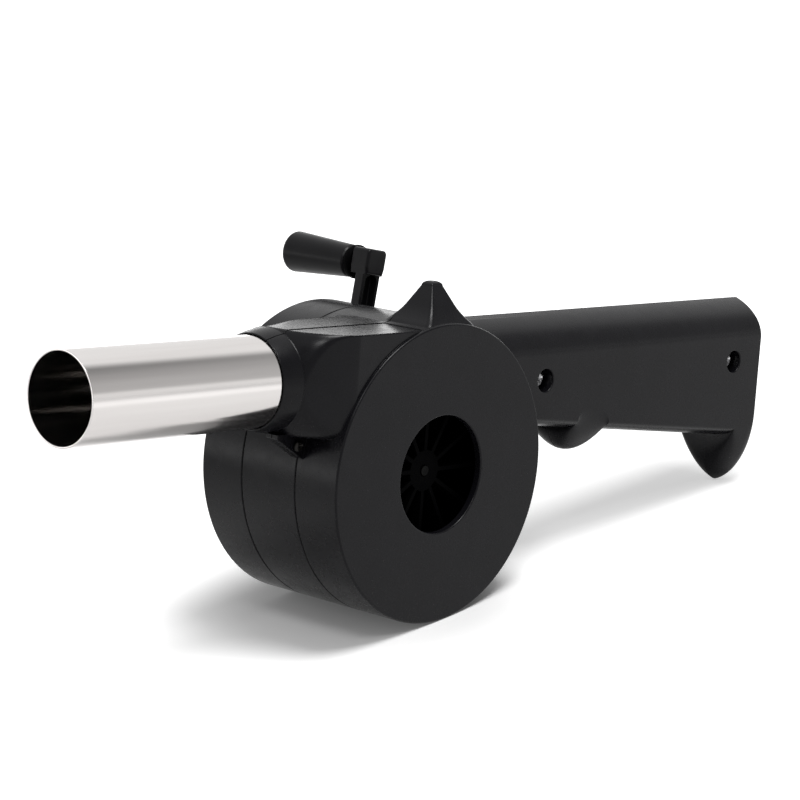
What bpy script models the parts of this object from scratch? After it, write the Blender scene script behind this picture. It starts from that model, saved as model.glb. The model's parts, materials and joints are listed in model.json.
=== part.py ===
"""A hand crank blower: a three-shell casing with a handle, a steel outlet tube, a fan and its gear train.

The casing has its own frame: X points along the outlet tube, Y out of the inlet face, Z up, with
the origin on the fan's axis at the inlet face. An empty pitches that frame to the way the blower
rests, on the drum and on the tip of the handle's tail.
"""
import math

import bmesh
import bpy
from mathutils import Matrix, Vector

# Fits
SEAM_GAP = 0.0003
FIXED_GAP = 0.0002
RUNNING_GAP = 0.0001

# Drum
DRUM_RADIUS = 0.0435
INLET_SHELL_DEPTH = 0.0160
MIDDLE_SHELL_DEPTH = 0.0211
GEAR_COVER_DEPTH = 0.0161
WALL = 0.0022
RIM_CHAMFER = 0.0006
INLET_RADIUS = 0.0171

# Outlet tube and the duct that holds it
TUBE_RADIUS = 0.0130
TUBE_WALL = 0.0006
TUBE_EXPOSED = 0.0680
TUBE_INSERTED = 0.0170
COLLAR_WALL = 0.0020
COLLAR_REACH = 0.0148
LIP_LENGTH = 0.0056
LIP_STEP = 0.0004
LIP_TAPER = 0.0014
LIP_NOSE = 0.0011
DECK_DROP = 0.0009
SIDE_RECESS = 0.0010
DUCT_EDGE_ROUND = 0.0012
DUCT_FOOT_ROUND = 0.0026
DUCT_FAR_ROUND = 0.0075
DUCT_BLEND = 0.0150
DUCT_FAR_BLEND = 0.0220

# Handle
HANDLE_LENGTH = 0.1153
HANDLE_HALF_THICKNESS = 0.0115
HANDLE_TOP_DROP = 0.0005
HANDLE_HEIGHT_AT_DRUM = 0.0333
HANDLE_HEIGHT_AT_TAIL = 0.0445
HANDLE_TOP_ROUND = 0.0120
HANDLE_BOTTOM_ROUND = 0.0055
LOBE_DISTANCE = 0.0303
LOBE_FRONT = 0.0112
LOBE_REAR = 0.0095
LOBE_DEPTH = 0.0075
LOBE_ROUND = 0.0140
TAIL_LENGTH = 0.0138
TAIL_DEPTH = 0.0162
TAIL_ROUND = 0.0210
TAIL_POINT = 0.35
TAIL_HEEL = 0.0034
HOLLOW_START = 0.0030

# Ear on top and lug under the duct
EAR_X = -0.0010
EAR_BEHIND_INLET = 0.0097
EAR_HALF_LENGTH = 0.0076
EAR_HALF_WIDTH = 0.0080
EAR_HEIGHT = 0.0120
EAR_TIP = 0.0016
EAR_FLARE = 0.0035
LUG_LENGTH = 0.0120
LUG_DROP = 0.0066
LUG_HALF_THICKNESS = 0.0022
LUG_SCREW_INSET = 0.0080
LUG_SCREW_DROP = 0.0024

# Screws
RECESS_RADIUS = 0.0035
RECESS_DEPTH = 0.0050
SCREW_BOSS_RADIUS = 0.0052
SCREW_HEAD_RADIUS = 0.0028
SCREW_HEAD_HEIGHT = 0.0019
SCREW_SHANK_RADIUS = 0.0012
SCREW_LENGTH = 0.0150
FRONT_SCREW_DISTANCE = 0.0059
REAR_SCREW_INSET = 0.0141
HANDLE_SCREW_Z = 0.0233
LUG_SCREW_HEAD_RADIUS = 0.0016
LUG_SCREW_HEAD_HEIGHT = 0.0010
LUG_SCREW_SHANK_RADIUS = 0.0008
COVER_SCREW_ANGLES = (45.0, 145.0, 300.0)
COVER_BOSS_RADIUS = 0.0042
COVER_RECESS_DEPTH = 0.0030
COVER_SCREW_LENGTH = 0.0100
COVER_BOSS_SPLIT = 0.0070

# Fan
FAN_RADIUS = 0.0350
FAN_DISC = 0.0012
FAN_HUB_RADIUS = 0.0060
FAN_BLADES = 12
BLADE_THICKNESS = 0.0012
FAN_TO_PARTITION = 0.0030
FAN_TO_INLET = 0.0045
FAN_SHAFT_RADIUS = 0.0015
BUSH_RADIUS = 0.0030
BUSH_LENGTH = 0.0060
BUSH_PROUD = 0.0018
BUSH_BOSS_WALL = 0.0018

# Gear train
GEAR_MODULE = 0.0008
PRESSURE_ANGLE = math.radians(25.0)
ADDENDUM = 0.8
DEDENDUM = 1.05
TOOTH_THINNING = 0.00012
CRANK_GEAR_TEETH = 42
PINION_TEETH = 12
IDLER_GEAR_TEETH = 40
CRANK_AXIS_DISTANCE = 0.0200
FAN_PINION_WIDTH = 0.0044
IDLER_GEAR_WIDTH = 0.0034
CRANK_GEAR_WIDTH = 0.0040
IDLER_PINION_WIDTH = 0.0058
AXLE_RADIUS = 0.0012
AXLE_SEAT = 0.0014
CRANK_SHAFT_RADIUS = 0.0030
SPIGOT_RADIUS = 0.0020
SPIGOT_LENGTH = 0.0026
SPIGOT_BOSS = 0.0014

# Crank
CRANK_LENGTH = 0.0527
CRANK_LEAN = math.radians(8.6)
COVER_HUB_HEIGHT = 0.0020
COVER_HUB_RADIUS = 0.0065
ARM_HUB_RADIUS = 0.0068
ARM_HUB_DEPTH = 0.0090
ARM_WIDTH = 0.0060
ARM_THICKNESS = 0.0054
ARM_STEP = 0.0010
ARM_GROOVE_WIDTH = 0.0030
ARM_GROOVE_DEPTH = 0.0022
KNOB_BOSS_RADIUS = 0.0044
KNOB_BOSS_DEPTH = 0.0075
KNOB_WASHER_RADIUS = 0.0054
KNOB_WASHER_THICKNESS = 0.0026
KNOB_LENGTH = 0.0248
KNOB_INNER_RADIUS = 0.0053
KNOB_OUTER_RADIUS = 0.0064
KNOB_ROUND = 0.0016
KNOB_PIN_RADIUS = 0.0020
KNOB_PIN_SEAT = 0.0060
KNOB_PIN_HEAD_RADIUS = 0.0032
KNOB_PIN_HEAD_HEIGHT = 0.0016
CRANK_SCREW_SHANK_RADIUS = 0.0013
CRANK_SCREW_LENGTH = 0.0080
CRANK_SCREW_HEAD_RADIUS = 0.0030
CRANK_SCREW_HEAD_HEIGHT = 0.0018

# Facets
DRUM_STEPS = 80
TUBE_STEPS = 56
SMALL_STEPS = 24
TINY_STEPS = 16

# Where the main planes and axes lie in the casing's frame
FIRST_SEAM_Y = -INLET_SHELL_DEPTH
SECOND_SEAM_Y = FIRST_SEAM_Y - MIDDLE_SHELL_DEPTH
BACK_Y = SECOND_SEAM_Y - GEAR_COVER_DEPTH
PARTITION_Y = SECOND_SEAM_Y + SEAM_GAP / 2
CHAMBER_BACK_Y = PARTITION_Y + WALL
CHAMBER_RADIUS = DRUM_RADIUS - WALL
COLLAR_RADIUS = TUBE_RADIUS + FIXED_GAP + COLLAR_WALL
DECK_Z = DRUM_RADIUS - DECK_DROP
TUBE_Z = DECK_Z - COLLAR_RADIUS
TUBE_Y = SECOND_SEAM_Y + SEAM_GAP + COLLAR_RADIUS
COLLAR_END_X = DRUM_RADIUS + COLLAR_REACH
HANDLE_TOP_Z = DRUM_RADIUS - HANDLE_TOP_DROP
HANDLE_END_X = -DRUM_RADIUS - HANDLE_LENGTH
CRANK_X = -CRANK_AXIS_DISTANCE
OUTSIDE = 0.010
FLATNESS = 1e-7


def plastic(name, colour, roughness):
    return material(name, colour, roughness, 0.0)


def metal(name, colour, roughness):
    return material(name, colour, roughness, 1.0)


def material(name, colour, roughness, metallic):
    made = bpy.data.materials.new(name)
    made.use_nodes = True
    shader = made.node_tree.nodes["Principled BSDF"]
    shader.inputs["Base Color"].default_value = (*colour, 1.0)
    shader.inputs["Roughness"].default_value = roughness
    shader.inputs["Metallic"].default_value = metallic
    made.diffuse_color = (*colour, 1.0)
    return made


def clear_scene():
    for thing in list(bpy.data.objects):
        bpy.data.objects.remove(thing, do_unlink=True)


def new_collection(name):
    made = bpy.data.collections.new(name)
    bpy.context.scene.collection.children.link(made)
    return made


def new_empty(name, parent=None, location=(0.0, 0.0, 0.0)):
    made = bpy.data.objects.new(name, None)
    made.location = location
    made.empty_display_size = 0.01
    made.parent = parent
    PARTS.objects.link(made)
    return made


def new_object(name, mesh, parent):
    made = bpy.data.objects.new(name, mesh)
    made.parent = parent
    return made


def as_part(thing, surface, smooth_angle=math.radians(35.0)):
    """Puts a solid among the parts, with its material and its smooth faces."""
    thing.data.materials.clear()
    thing.data.materials.append(surface)
    thing.data.shade_smooth()
    thing.data.set_sharp_from_angle(angle=smooth_angle)
    PARTS.objects.link(thing)
    return thing


def as_tool(thing):
    """Puts a solid among the hidden shapes that cut or complete others."""
    thing.display_type = "WIRE"
    thing.hide_render = True
    TOOLS.objects.link(thing)
    return thing


def change(target, operation, tool):
    step = target.modifiers.new(operation.lower() + "_" + tool.name, "BOOLEAN")
    step.operation = operation
    step.solver = "EXACT"
    step.object = tool
    return target


def cut(target, *tools):
    for tool in tools:
        change(target, "DIFFERENCE", tool)
    return target


def join(target, *tools):
    for tool in tools:
        change(target, "UNION", tool)
    return target


def baked(thing):
    """The mesh of an object with its modifiers applied, in the object's own frame."""
    graph = bpy.context.evaluated_depsgraph_get()
    mesh = bpy.data.meshes.new_from_object(thing.evaluated_get(graph))
    shape = bmesh.new()
    shape.from_mesh(mesh)
    bmesh.ops.remove_doubles(shape, verts=shape.verts, dist=1e-7)
    bmesh.ops.recalc_face_normals(shape, faces=shape.faces)
    shape.to_mesh(mesh)
    shape.free()
    return mesh


def mesh_from(shape, name):
    bmesh.ops.recalc_face_normals(shape, faces=shape.faces)
    mesh = bpy.data.meshes.new(name)
    shape.to_mesh(mesh)
    shape.free()
    return mesh


def turned(name, profile, parent, steps, direction, location):
    """A solid turned from a profile of (radius, height), its outer side given from top to bottom."""
    shape = bmesh.new()
    points = [shape.verts.new((radius, 0.0, height)) for radius, height in profile]
    for first, second in zip(points, points[1:]):
        shape.edges.new((first, second))
    if profile[0][0] > 0.0:
        shape.edges.new((points[-1], points[0]))
    mesh = bpy.data.meshes.new(name)
    shape.to_mesh(mesh)
    shape.free()
    made = new_object(name, mesh, parent)
    made.rotation_euler = Vector(direction).to_track_quat("Z", "Y").to_euler()
    made.location = location
    turn = made.modifiers.new("turn", "SCREW")
    turn.axis = "Z"
    turn.steps = steps
    turn.render_steps = steps
    turn.use_merge_vertices = True
    turn.merge_threshold = 1e-6
    turn.use_smooth_shade = True
    return made


def rod(name, radius, start, end, parent, steps=SMALL_STEPS):
    """A plain cylinder between two points on one line."""
    start = Vector(start)
    end = Vector(end)
    shape = bmesh.new()
    bmesh.ops.create_cone(shape, cap_ends=True, segments=steps, radius1=radius, radius2=radius,
                          depth=(end - start).length)
    made = new_object(name, mesh_from(shape, name), parent)
    made.rotation_euler = (end - start).to_track_quat("Z", "Y").to_euler()
    made.location = (start + end) / 2
    return made


def rod_y(name, radius, x, z, y_start, y_end, parent, steps=SMALL_STEPS):
    return rod(name, radius, (x, y_start, z), (x, y_end, z), parent, steps)


def plate(name, outlines, y_low, y_high, parent):
    """A flat shape in the XZ plane, between two heights along Y. Outlines after the first are holes."""
    curve = bpy.data.curves.new(name, "CURVE")
    curve.dimensions = "2D"
    curve.fill_mode = "BOTH"
    curve.extrude = (y_high - y_low) / 2
    for outline in outlines:
        spline = curve.splines.new("POLY")
        spline.points.add(len(outline) - 1)
        for point, (x, z) in zip(spline.points, outline):
            point.co = (x, z, 0.0, 1.0)
        spline.use_cyclic_u = True
    flat = bpy.data.objects.new(name + "_curve", curve)
    TOOLS.objects.link(flat)
    bpy.context.view_layer.update()
    mesh = baked(flat)
    bpy.data.objects.remove(flat, do_unlink=True)
    upright = Matrix.Rotation(math.pi / 2, 4, "X")
    mesh.transform(Matrix.Translation((0.0, (y_low + y_high) / 2, 0.0)) @ upright)
    return new_object(name, mesh, parent)


def is_bent(face):
    corners = [corner.co for corner in face.verts]
    across = (corners[1] - corners[0]).cross(corners[2] - corners[0]).normalized()
    return abs(across.dot(corners[3] - corners[0])) > FLATNESS


def loft(name, sections, parent):
    """A closed solid through loops of equally many points."""
    shape = bmesh.new()
    rings = [[shape.verts.new(point) for point in section] for section in sections]
    for ring, after in zip(rings, rings[1:]):
        for index in range(len(ring)):
            following = (index + 1) % len(ring)
            shape.faces.new((ring[index], ring[following], after[following], after[index]))
    bmesh.ops.triangulate(shape, faces=[face for face in shape.faces if is_bent(face)])
    shape.faces.new(rings[0])
    shape.faces.new(rings[-1])
    return new_object(name, mesh_from(shape, name), parent)


def smooth_step(value):
    value = min(max(value, 0.0), 1.0)
    return value * value * (3.0 - 2.0 * value)


def spread(first, last, count):
    return [first + (last - first) * index / count for index in range(count + 1)]


def rounded_rectangle(low, high, corners, steps):
    """The points of a rectangle with round corners, as pairs, from the corner of both high sides round."""
    points = []
    middles = (
        (high[0], -1, high[1], -1, corners[0], 0.0),
        (low[0], 1, high[1], -1, corners[1], 90.0),
        (low[0], 1, low[1], 1, corners[2], 180.0),
        (high[0], -1, low[1], 1, corners[3], 270.0),
    )
    for first, inward, second, upward, corner, start in middles:
        for angle in spread(math.radians(start), math.radians(start + 90.0), steps):
            across = first + inward * corner + corner * math.cos(angle)
            up = second + upward * corner + corner * math.sin(angle)
            points.append((across, up))
    return points


def duct_section(x, inset):
    """The duct's loop at x: a round-cornered box at the drum that becomes the round collar."""
    end = COLLAR_END_X - LIP_LENGTH
    blend = min(max((x - end + DUCT_BLEND) / DUCT_BLEND, 0.0), 1.0)
    far_blend = smooth_step((x - end + DUCT_FAR_BLEND) / DUCT_FAR_BLEND)
    outer = COLLAR_RADIUS - LIP_STEP
    low = (TUBE_Y - outer + inset, TUBE_Z - outer + inset)
    near = -SIDE_RECESS + (TUBE_Y + outer + SIDE_RECESS) * blend
    high = (near - inset, TUBE_Z + outer - inset)
    growth = blend**2
    rounds = [
        DUCT_EDGE_ROUND + (outer - DUCT_EDGE_ROUND) * growth,
        DUCT_FAR_ROUND + (outer - DUCT_FAR_ROUND) * far_blend,
        DUCT_FOOT_ROUND + (outer - DUCT_FOOT_ROUND) * far_blend,
        DUCT_FOOT_ROUND + (outer - DUCT_FOOT_ROUND) * growth,
    ]
    corners = [max(corner - inset, DUCT_EDGE_ROUND / 2) for corner in rounds]
    return [Vector((x, y, z)) for y, z in rounded_rectangle(low, high, corners, 6)]


def duct_form(parent):
    start = -0.2 * DRUM_RADIUS
    end = COLLAR_END_X - LIP_LENGTH
    far_start = end - DUCT_FAR_BLEND
    blend_start = end - DUCT_BLEND
    stations = [start, far_start, (far_start + blend_start) / 2]
    stations += spread(blend_start, end, 6) + [end + LIP_STEP]
    return loft("duct_form", [duct_section(x, 0.0) for x in stations], parent)


def lip_form(parent):
    start = COLLAR_END_X - LIP_LENGTH
    length = LIP_LENGTH
    profile = [
        (0.0, length),
        (COLLAR_RADIUS - LIP_TAPER, length),
        (COLLAR_RADIUS - LIP_STEP, length - LIP_NOSE),
        (COLLAR_RADIUS, 0.0),
        (0.0, 0.0),
    ]
    return turned("lip_form", profile, parent, TUBE_STEPS, (1, 0, 0), (start, TUBE_Y, TUBE_Z))


def duct_hollow(parent):
    """The air's way out of the drum, narrowing to the tube's bore."""
    tube_start = COLLAR_END_X - TUBE_INSERTED
    bore = TUBE_RADIUS - TUBE_WALL
    sections = []
    for x in (0.3 * DRUM_RADIUS, COLLAR_END_X - LIP_LENGTH - DUCT_FAR_BLEND):
        sections.append(duct_section(x, WALL))
    low = (TUBE_Y - bore, TUBE_Z - bore)
    high = (TUBE_Y + bore, TUBE_Z + bore)
    for x in (tube_start - WALL, tube_start + 2 * WALL):
        loop = rounded_rectangle(low, high, [bore] * 4, 6)
        sections.append([Vector((x, y, z)) for y, z in loop])
    return as_tool(loft("duct_hollow", sections, parent))


def tube_seat(parent):
    start = (COLLAR_END_X - TUBE_INSERTED, TUBE_Y, TUBE_Z)
    end = (COLLAR_END_X + OUTSIDE, TUBE_Y, TUBE_Z)
    return as_tool(rod("tube_seat", TUBE_RADIUS + FIXED_GAP, start, end, parent, TUBE_STEPS))


def underside_z(distance):
    """The height of the handle's plain underside at a distance behind the drum's edge."""
    front = HANDLE_TOP_Z - HANDLE_HEIGHT_AT_DRUM
    rear = HANDLE_TOP_Z - HANDLE_HEIGHT_AT_TAIL
    straight = HANDLE_LENGTH - TAIL_LENGTH
    return front + (rear - front) * distance / straight


def lobe_share(distance):
    """How far the finger lobe has grown, from 0 to 1."""
    reach = LOBE_FRONT if distance < LOBE_DISTANCE else LOBE_REAR
    along = min(abs(distance - LOBE_DISTANCE) / reach, 1.0)
    return math.sqrt(1.0 - along * along)


def tail_share(distance):
    """How far the tail has grown, from 0 to 1."""
    along = min(max((HANDLE_LENGTH - distance) / TAIL_LENGTH, 0.0), 1.0)
    return math.sqrt(1.0 - along * along)


def bottom_z(distance):
    """The height of the handle's lowest line, with the lobe, the tail and the tail's round heel."""
    heel = min(max((distance - HANDLE_LENGTH + TAIL_HEEL) / TAIL_HEEL, 0.0), 1.0)
    rise = TAIL_HEEL * (1.0 - math.sqrt(1.0 - heel * heel))
    lobe = LOBE_DEPTH * lobe_share(distance)
    tail = TAIL_DEPTH * tail_share(distance)
    return underside_z(distance) - lobe - tail + rise


def handle_section(distance, inset):
    """The handle's loop at a distance behind the drum's edge: round on top, a lobe and a tail below."""
    lobe = lobe_share(distance)
    tail = tail_share(distance)
    bottom = bottom_z(distance) + inset
    top = HANDLE_TOP_Z - inset
    half = HANDLE_HALF_THICKNESS - inset
    round_top = HANDLE_TOP_ROUND - inset
    round_bottom = HANDLE_BOTTOM_ROUND - inset / 2
    round_bottom += (LOBE_ROUND - HANDLE_BOTTOM_ROUND) * lobe
    round_bottom += (TAIL_ROUND - HANDLE_BOTTOM_ROUND) * tail
    x = -DRUM_RADIUS - distance
    points = []
    for angle in spread(0.0, math.pi, 12):
        rise = (math.sin(angle) + 1.0 - abs(1.0 - 2.0 * angle / math.pi)) / 2
        y = FIRST_SEAM_Y + half * math.cos(angle)
        points.append(Vector((x, y, top - round_top * (1.0 - rise))))
    for angle in spread(math.pi, 2 * math.pi, 12):
        pointed = 1.0 - abs(3.0 - 2.0 * angle / math.pi)
        drop = -math.sin(angle) + (pointed + math.sin(angle)) * tail * TAIL_POINT
        y = FIRST_SEAM_Y + half * math.cos(angle)
        points.append(Vector((x, y, bottom + round_bottom * (1.0 - drop))))
    return points


def handle_stations():
    """Distances behind the drum's edge, close together along the lobe and the tail."""
    front = [-1.1 * DRUM_RADIUS]
    lobe = [LOBE_DISTANCE - LOBE_FRONT * math.cos(angle) for angle in spread(0.0, math.pi / 2, 6)]
    lobe += [LOBE_DISTANCE + LOBE_REAR * math.sin(angle) for angle in spread(0.0, math.pi / 2, 6)[1:]]
    tail_start = HANDLE_LENGTH - TAIL_LENGTH
    tail = [HANDLE_LENGTH - TAIL_LENGTH * math.cos(angle) for angle in spread(0.0, math.pi / 2, 9)]
    heel = [HANDLE_LENGTH - TAIL_HEEL * (1.0 - math.sin(angle)) for angle in spread(0.0, math.pi / 2, 4)]
    middle = [(lobe[-1] + tail_start) / 2]
    before_heel = [distance for distance in tail if distance < heel[0] - TAIL_HEEL / 4]
    return front + lobe + middle + before_heel + heel


def handle_form(parent):
    return loft("handle_form", [handle_section(distance, 0.0) for distance in handle_stations()], parent)


def handle_screw_places():
    front = -DRUM_RADIUS - FRONT_SCREW_DISTANCE
    rear = HANDLE_END_X + REAR_SCREW_INSET
    return (("front", front), ("rear", rear))


def handle_hollow(parent):
    """The space inside the handle, without the bosses that its screws need."""
    sections = []
    for distance in handle_stations():
        if HOLLOW_START < distance < HANDLE_LENGTH - WALL:
            sections.append(handle_section(distance, WALL))
    hollow = as_tool(loft("handle_hollow", sections, parent))
    for place, x in handle_screw_places():
        boss = rod_y(place + "_boss", SCREW_BOSS_RADIUS, x, HANDLE_SCREW_Z, OUTSIDE, BACK_Y, parent)
        cut(hollow, as_tool(boss))
    return hollow


def ear_form(parent):
    """The pointed ear on top, flared where it meets the drum."""
    y = -EAR_BEHIND_INLET
    sections = []
    for rise, half_x, half_y in (
        (-0.0060, EAR_HALF_LENGTH + EAR_FLARE, EAR_HALF_WIDTH + EAR_FLARE / 2),
        (-0.0004, EAR_HALF_LENGTH + EAR_FLARE, EAR_HALF_WIDTH + EAR_FLARE / 2),
        (0.0009, EAR_HALF_LENGTH + EAR_FLARE / 3, EAR_HALF_WIDTH + EAR_FLARE / 5),
        (0.0024, EAR_HALF_LENGTH, EAR_HALF_WIDTH),
        (EAR_HEIGHT - 0.0008, EAR_TIP + 0.0008, EAR_TIP + 0.0006),
        (EAR_HEIGHT, EAR_TIP / 2, EAR_TIP / 2),
    ):
        low = (EAR_X - half_x, y - half_y)
        high = (EAR_X + half_x, y + half_y)
        outline = rounded_rectangle(low, high, [min(half_x, half_y) / 4] * 4, 2)
        sections.append([Vector((first, second, DECK_Z + rise)) for first, second in outline])
    return loft("ear_form", sections, parent)


def lug_corner():
    """The corner between the duct's underside and the drum."""
    z = TUBE_Z - COLLAR_RADIUS
    return math.sqrt(DRUM_RADIUS**2 - z**2), z


def lug_form(parent):
    """The thin three-sided lug in the corner between the duct and the drum."""
    x, z = lug_corner()
    outline = [
        (x + LUG_LENGTH, z + WALL / 2),
        (x + LUG_LENGTH, z),
        (x + LUG_LENGTH / 10, z - LUG_DROP),
        (x - WALL / 2, z - LUG_DROP),
        (x - WALL, z + WALL / 2),
    ]
    low = FIRST_SEAM_Y - LUG_HALF_THICKNESS
    high = FIRST_SEAM_Y + LUG_HALF_THICKNESS
    return plate("lug_form", [outline], low, high, parent)


def drum_form(parent):
    depth = -BACK_Y
    profile = [
        (0.0, depth),
        (DRUM_RADIUS - RIM_CHAMFER, depth),
        (DRUM_RADIUS, depth - RIM_CHAMFER),
        (DRUM_RADIUS, RIM_CHAMFER),
        (DRUM_RADIUS - RIM_CHAMFER, 0.0),
        (0.0, 0.0),
    ]
    drum = turned("drum_form", profile, parent, DRUM_STEPS, (0, 1, 0), (0, BACK_Y, 0))
    flat = drum.modifiers.new("flat_ends", "DECIMATE")
    flat.decimate_type = "DISSOLVE"
    flat.angle_limit = math.radians(0.5)
    return drum


def casing_form(parent):
    """The whole casing with its hollows, before it is split into shells."""
    form = as_tool(drum_form(parent))
    pieces = (duct_form(parent), lip_form(parent), handle_form(parent), ear_form(parent), lug_form(parent))
    join(form, *[as_tool(piece) for piece in pieces])
    chamber = rod_y("fan_chamber", CHAMBER_RADIUS, 0, 0, CHAMBER_BACK_Y, -WALL, parent, DRUM_STEPS)
    return cut(form, as_tool(chamber), duct_hollow(parent), tube_seat(parent), handle_hollow(parent))


def slab(name, y_low, y_high, parent):
    """A block across the casing that keeps one shell's share of it."""
    low = (HANDLE_END_X - OUTSIDE, -DRUM_RADIUS - OUTSIDE)
    high = (COLLAR_END_X + OUTSIDE, DRUM_RADIUS + 2 * OUTSIDE)
    outline = [low, (high[0], low[1]), high, (low[0], high[1])]
    return as_tool(plate(name, [outline], y_low, y_high, parent))


def shell_of(name, form, y_low, y_high, parent):
    """One shell of the casing, from one height along Y to another."""
    mesh = baked(form)
    mesh.transform(form.matrix_local)
    shell = new_object(name, mesh, parent)
    return change(shell, "INTERSECT", slab(name + "_slab", y_low, y_high, parent))


def cover_screw_places():
    reach = CHAMBER_RADIUS - COVER_BOSS_RADIUS - SEAM_GAP
    for number, degrees in enumerate(COVER_SCREW_ANGLES, 1):
        angle = math.radians(degrees)
        yield number, reach * math.cos(angle), reach * math.sin(angle)


def idler_place():
    """Where the idler's axle stands, so that it meshes with the crank gear and with the fan's pinion."""
    to_crank = GEAR_MODULE * (CRANK_GEAR_TEETH + PINION_TEETH) / 2
    to_fan = GEAR_MODULE * (IDLER_GEAR_TEETH + PINION_TEETH) / 2
    apart = CRANK_AXIS_DISTANCE
    along = (to_fan**2 - to_crank**2 + apart**2) / (2 * apart)
    return -along, -math.sqrt(to_fan**2 - along**2)


def gear_levels():
    """Heights along Y of the gears' faces, from the partition outwards."""
    fan_pinion = PARTITION_Y - BUSH_PROUD - SEAM_GAP
    idler_gear = fan_pinion - (FAN_PINION_WIDTH - IDLER_GEAR_WIDTH) / 2
    crank_gear = idler_gear - IDLER_GEAR_WIDTH - 2 * FAN_DISC
    return fan_pinion, idler_gear, crank_gear


def inlet_shell(form, parent):
    shell = shell_of("inlet_shell", form, FIRST_SEAM_Y + SEAM_GAP / 2, OUTSIDE, parent)
    opening = rod_y("inlet_opening", INLET_RADIUS, 0, 0, -2 * WALL, OUTSIDE, parent, DRUM_STEPS // 2)
    cut(shell, as_tool(opening))
    floor_y = FIRST_SEAM_Y + HANDLE_HALF_THICKNESS - RECESS_DEPTH
    for place, x in handle_screw_places():
        recess = rod_y(place + "_recess", RECESS_RADIUS, x, HANDLE_SCREW_Z, floor_y, OUTSIDE, parent)
        radius = SCREW_SHANK_RADIUS + FIXED_GAP
        hole = rod_y(place + "_hole", radius, x, HANDLE_SCREW_Z, BACK_Y, OUTSIDE, parent, TINY_STEPS)
        cut(shell, as_tool(recess), as_tool(hole))
    return cut(shell, lug_screw_hole("near", parent))


def lug_screw_place():
    x, z = lug_corner()
    return x + LUG_LENGTH - LUG_SCREW_INSET, z - LUG_SCREW_DROP


def lug_screw_hole(side, parent):
    x, z = lug_screw_place()
    radius = LUG_SCREW_SHANK_RADIUS + FIXED_GAP
    return as_tool(rod_y(side + "_lug_hole", radius, x, z, BACK_Y, OUTSIDE, parent, TINY_STEPS))


def middle_shell(form, parent):
    low = SECOND_SEAM_Y + SEAM_GAP / 2
    high = FIRST_SEAM_Y - SEAM_GAP / 2
    shell = shell_of("middle_shell", form, low, high, parent)
    boss_radius = BUSH_RADIUS + BUSH_BOSS_WALL
    bush_top = PARTITION_Y - BUSH_PROUD + BUSH_LENGTH
    inside = PARTITION_Y + WALL / 2
    boss = rod_y("bush_boss", boss_radius, 0, 0, inside, bush_top, parent)
    spigot_radius = SPIGOT_RADIUS + BUSH_BOSS_WALL
    spigot_end = PARTITION_Y - SPIGOT_BOSS
    spigot_boss = rod_y("spigot_boss", spigot_radius, CRANK_X, 0, spigot_end, inside, parent)
    join(shell, as_tool(boss), as_tool(spigot_boss))
    seat = rod_y("bush_seat", BUSH_RADIUS + FIXED_GAP, 0, 0, BACK_Y, OUTSIDE, parent)
    spigot_floor = spigot_end + SPIGOT_LENGTH
    bore = rod_y("spigot_bore", SPIGOT_RADIUS + RUNNING_GAP, CRANK_X, 0, BACK_Y, spigot_floor, parent)
    idler_x, idler_z = idler_place()
    axle_floor = PARTITION_Y + AXLE_SEAT
    axle_seat = rod_y("axle_seat", AXLE_RADIUS + FIXED_GAP, idler_x, idler_z, BACK_Y, axle_floor, parent)
    cut(shell, as_tool(seat), as_tool(bore), as_tool(axle_seat), lug_screw_hole("far", parent))
    for place, x in handle_screw_places():
        screw_end = FIRST_SEAM_Y + HANDLE_HALF_THICKNESS - RECESS_DEPTH - SCREW_LENGTH
        radius = SCREW_SHANK_RADIUS + FIXED_GAP
        pilot = rod_y(place + "_pilot", radius, x, HANDLE_SCREW_Z, screw_end - WALL / 4, OUTSIDE,
                      parent, TINY_STEPS)
        cut(shell, as_tool(pilot))
    for number, x, z in cover_screw_places():
        post_end = SECOND_SEAM_Y - COVER_BOSS_SPLIT
        post = rod_y(f"post_{number}", COVER_BOSS_RADIUS, x, z, post_end, inside, parent)
        pilot_end = PARTITION_Y + WALL / 4
        pilot = rod_y(f"post_pilot_{number}", SCREW_SHANK_RADIUS + FIXED_GAP, x, z, BACK_Y, pilot_end,
                      parent, TINY_STEPS)
        join(shell, as_tool(post))
        cut(shell, as_tool(pilot))
    return shell


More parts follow.
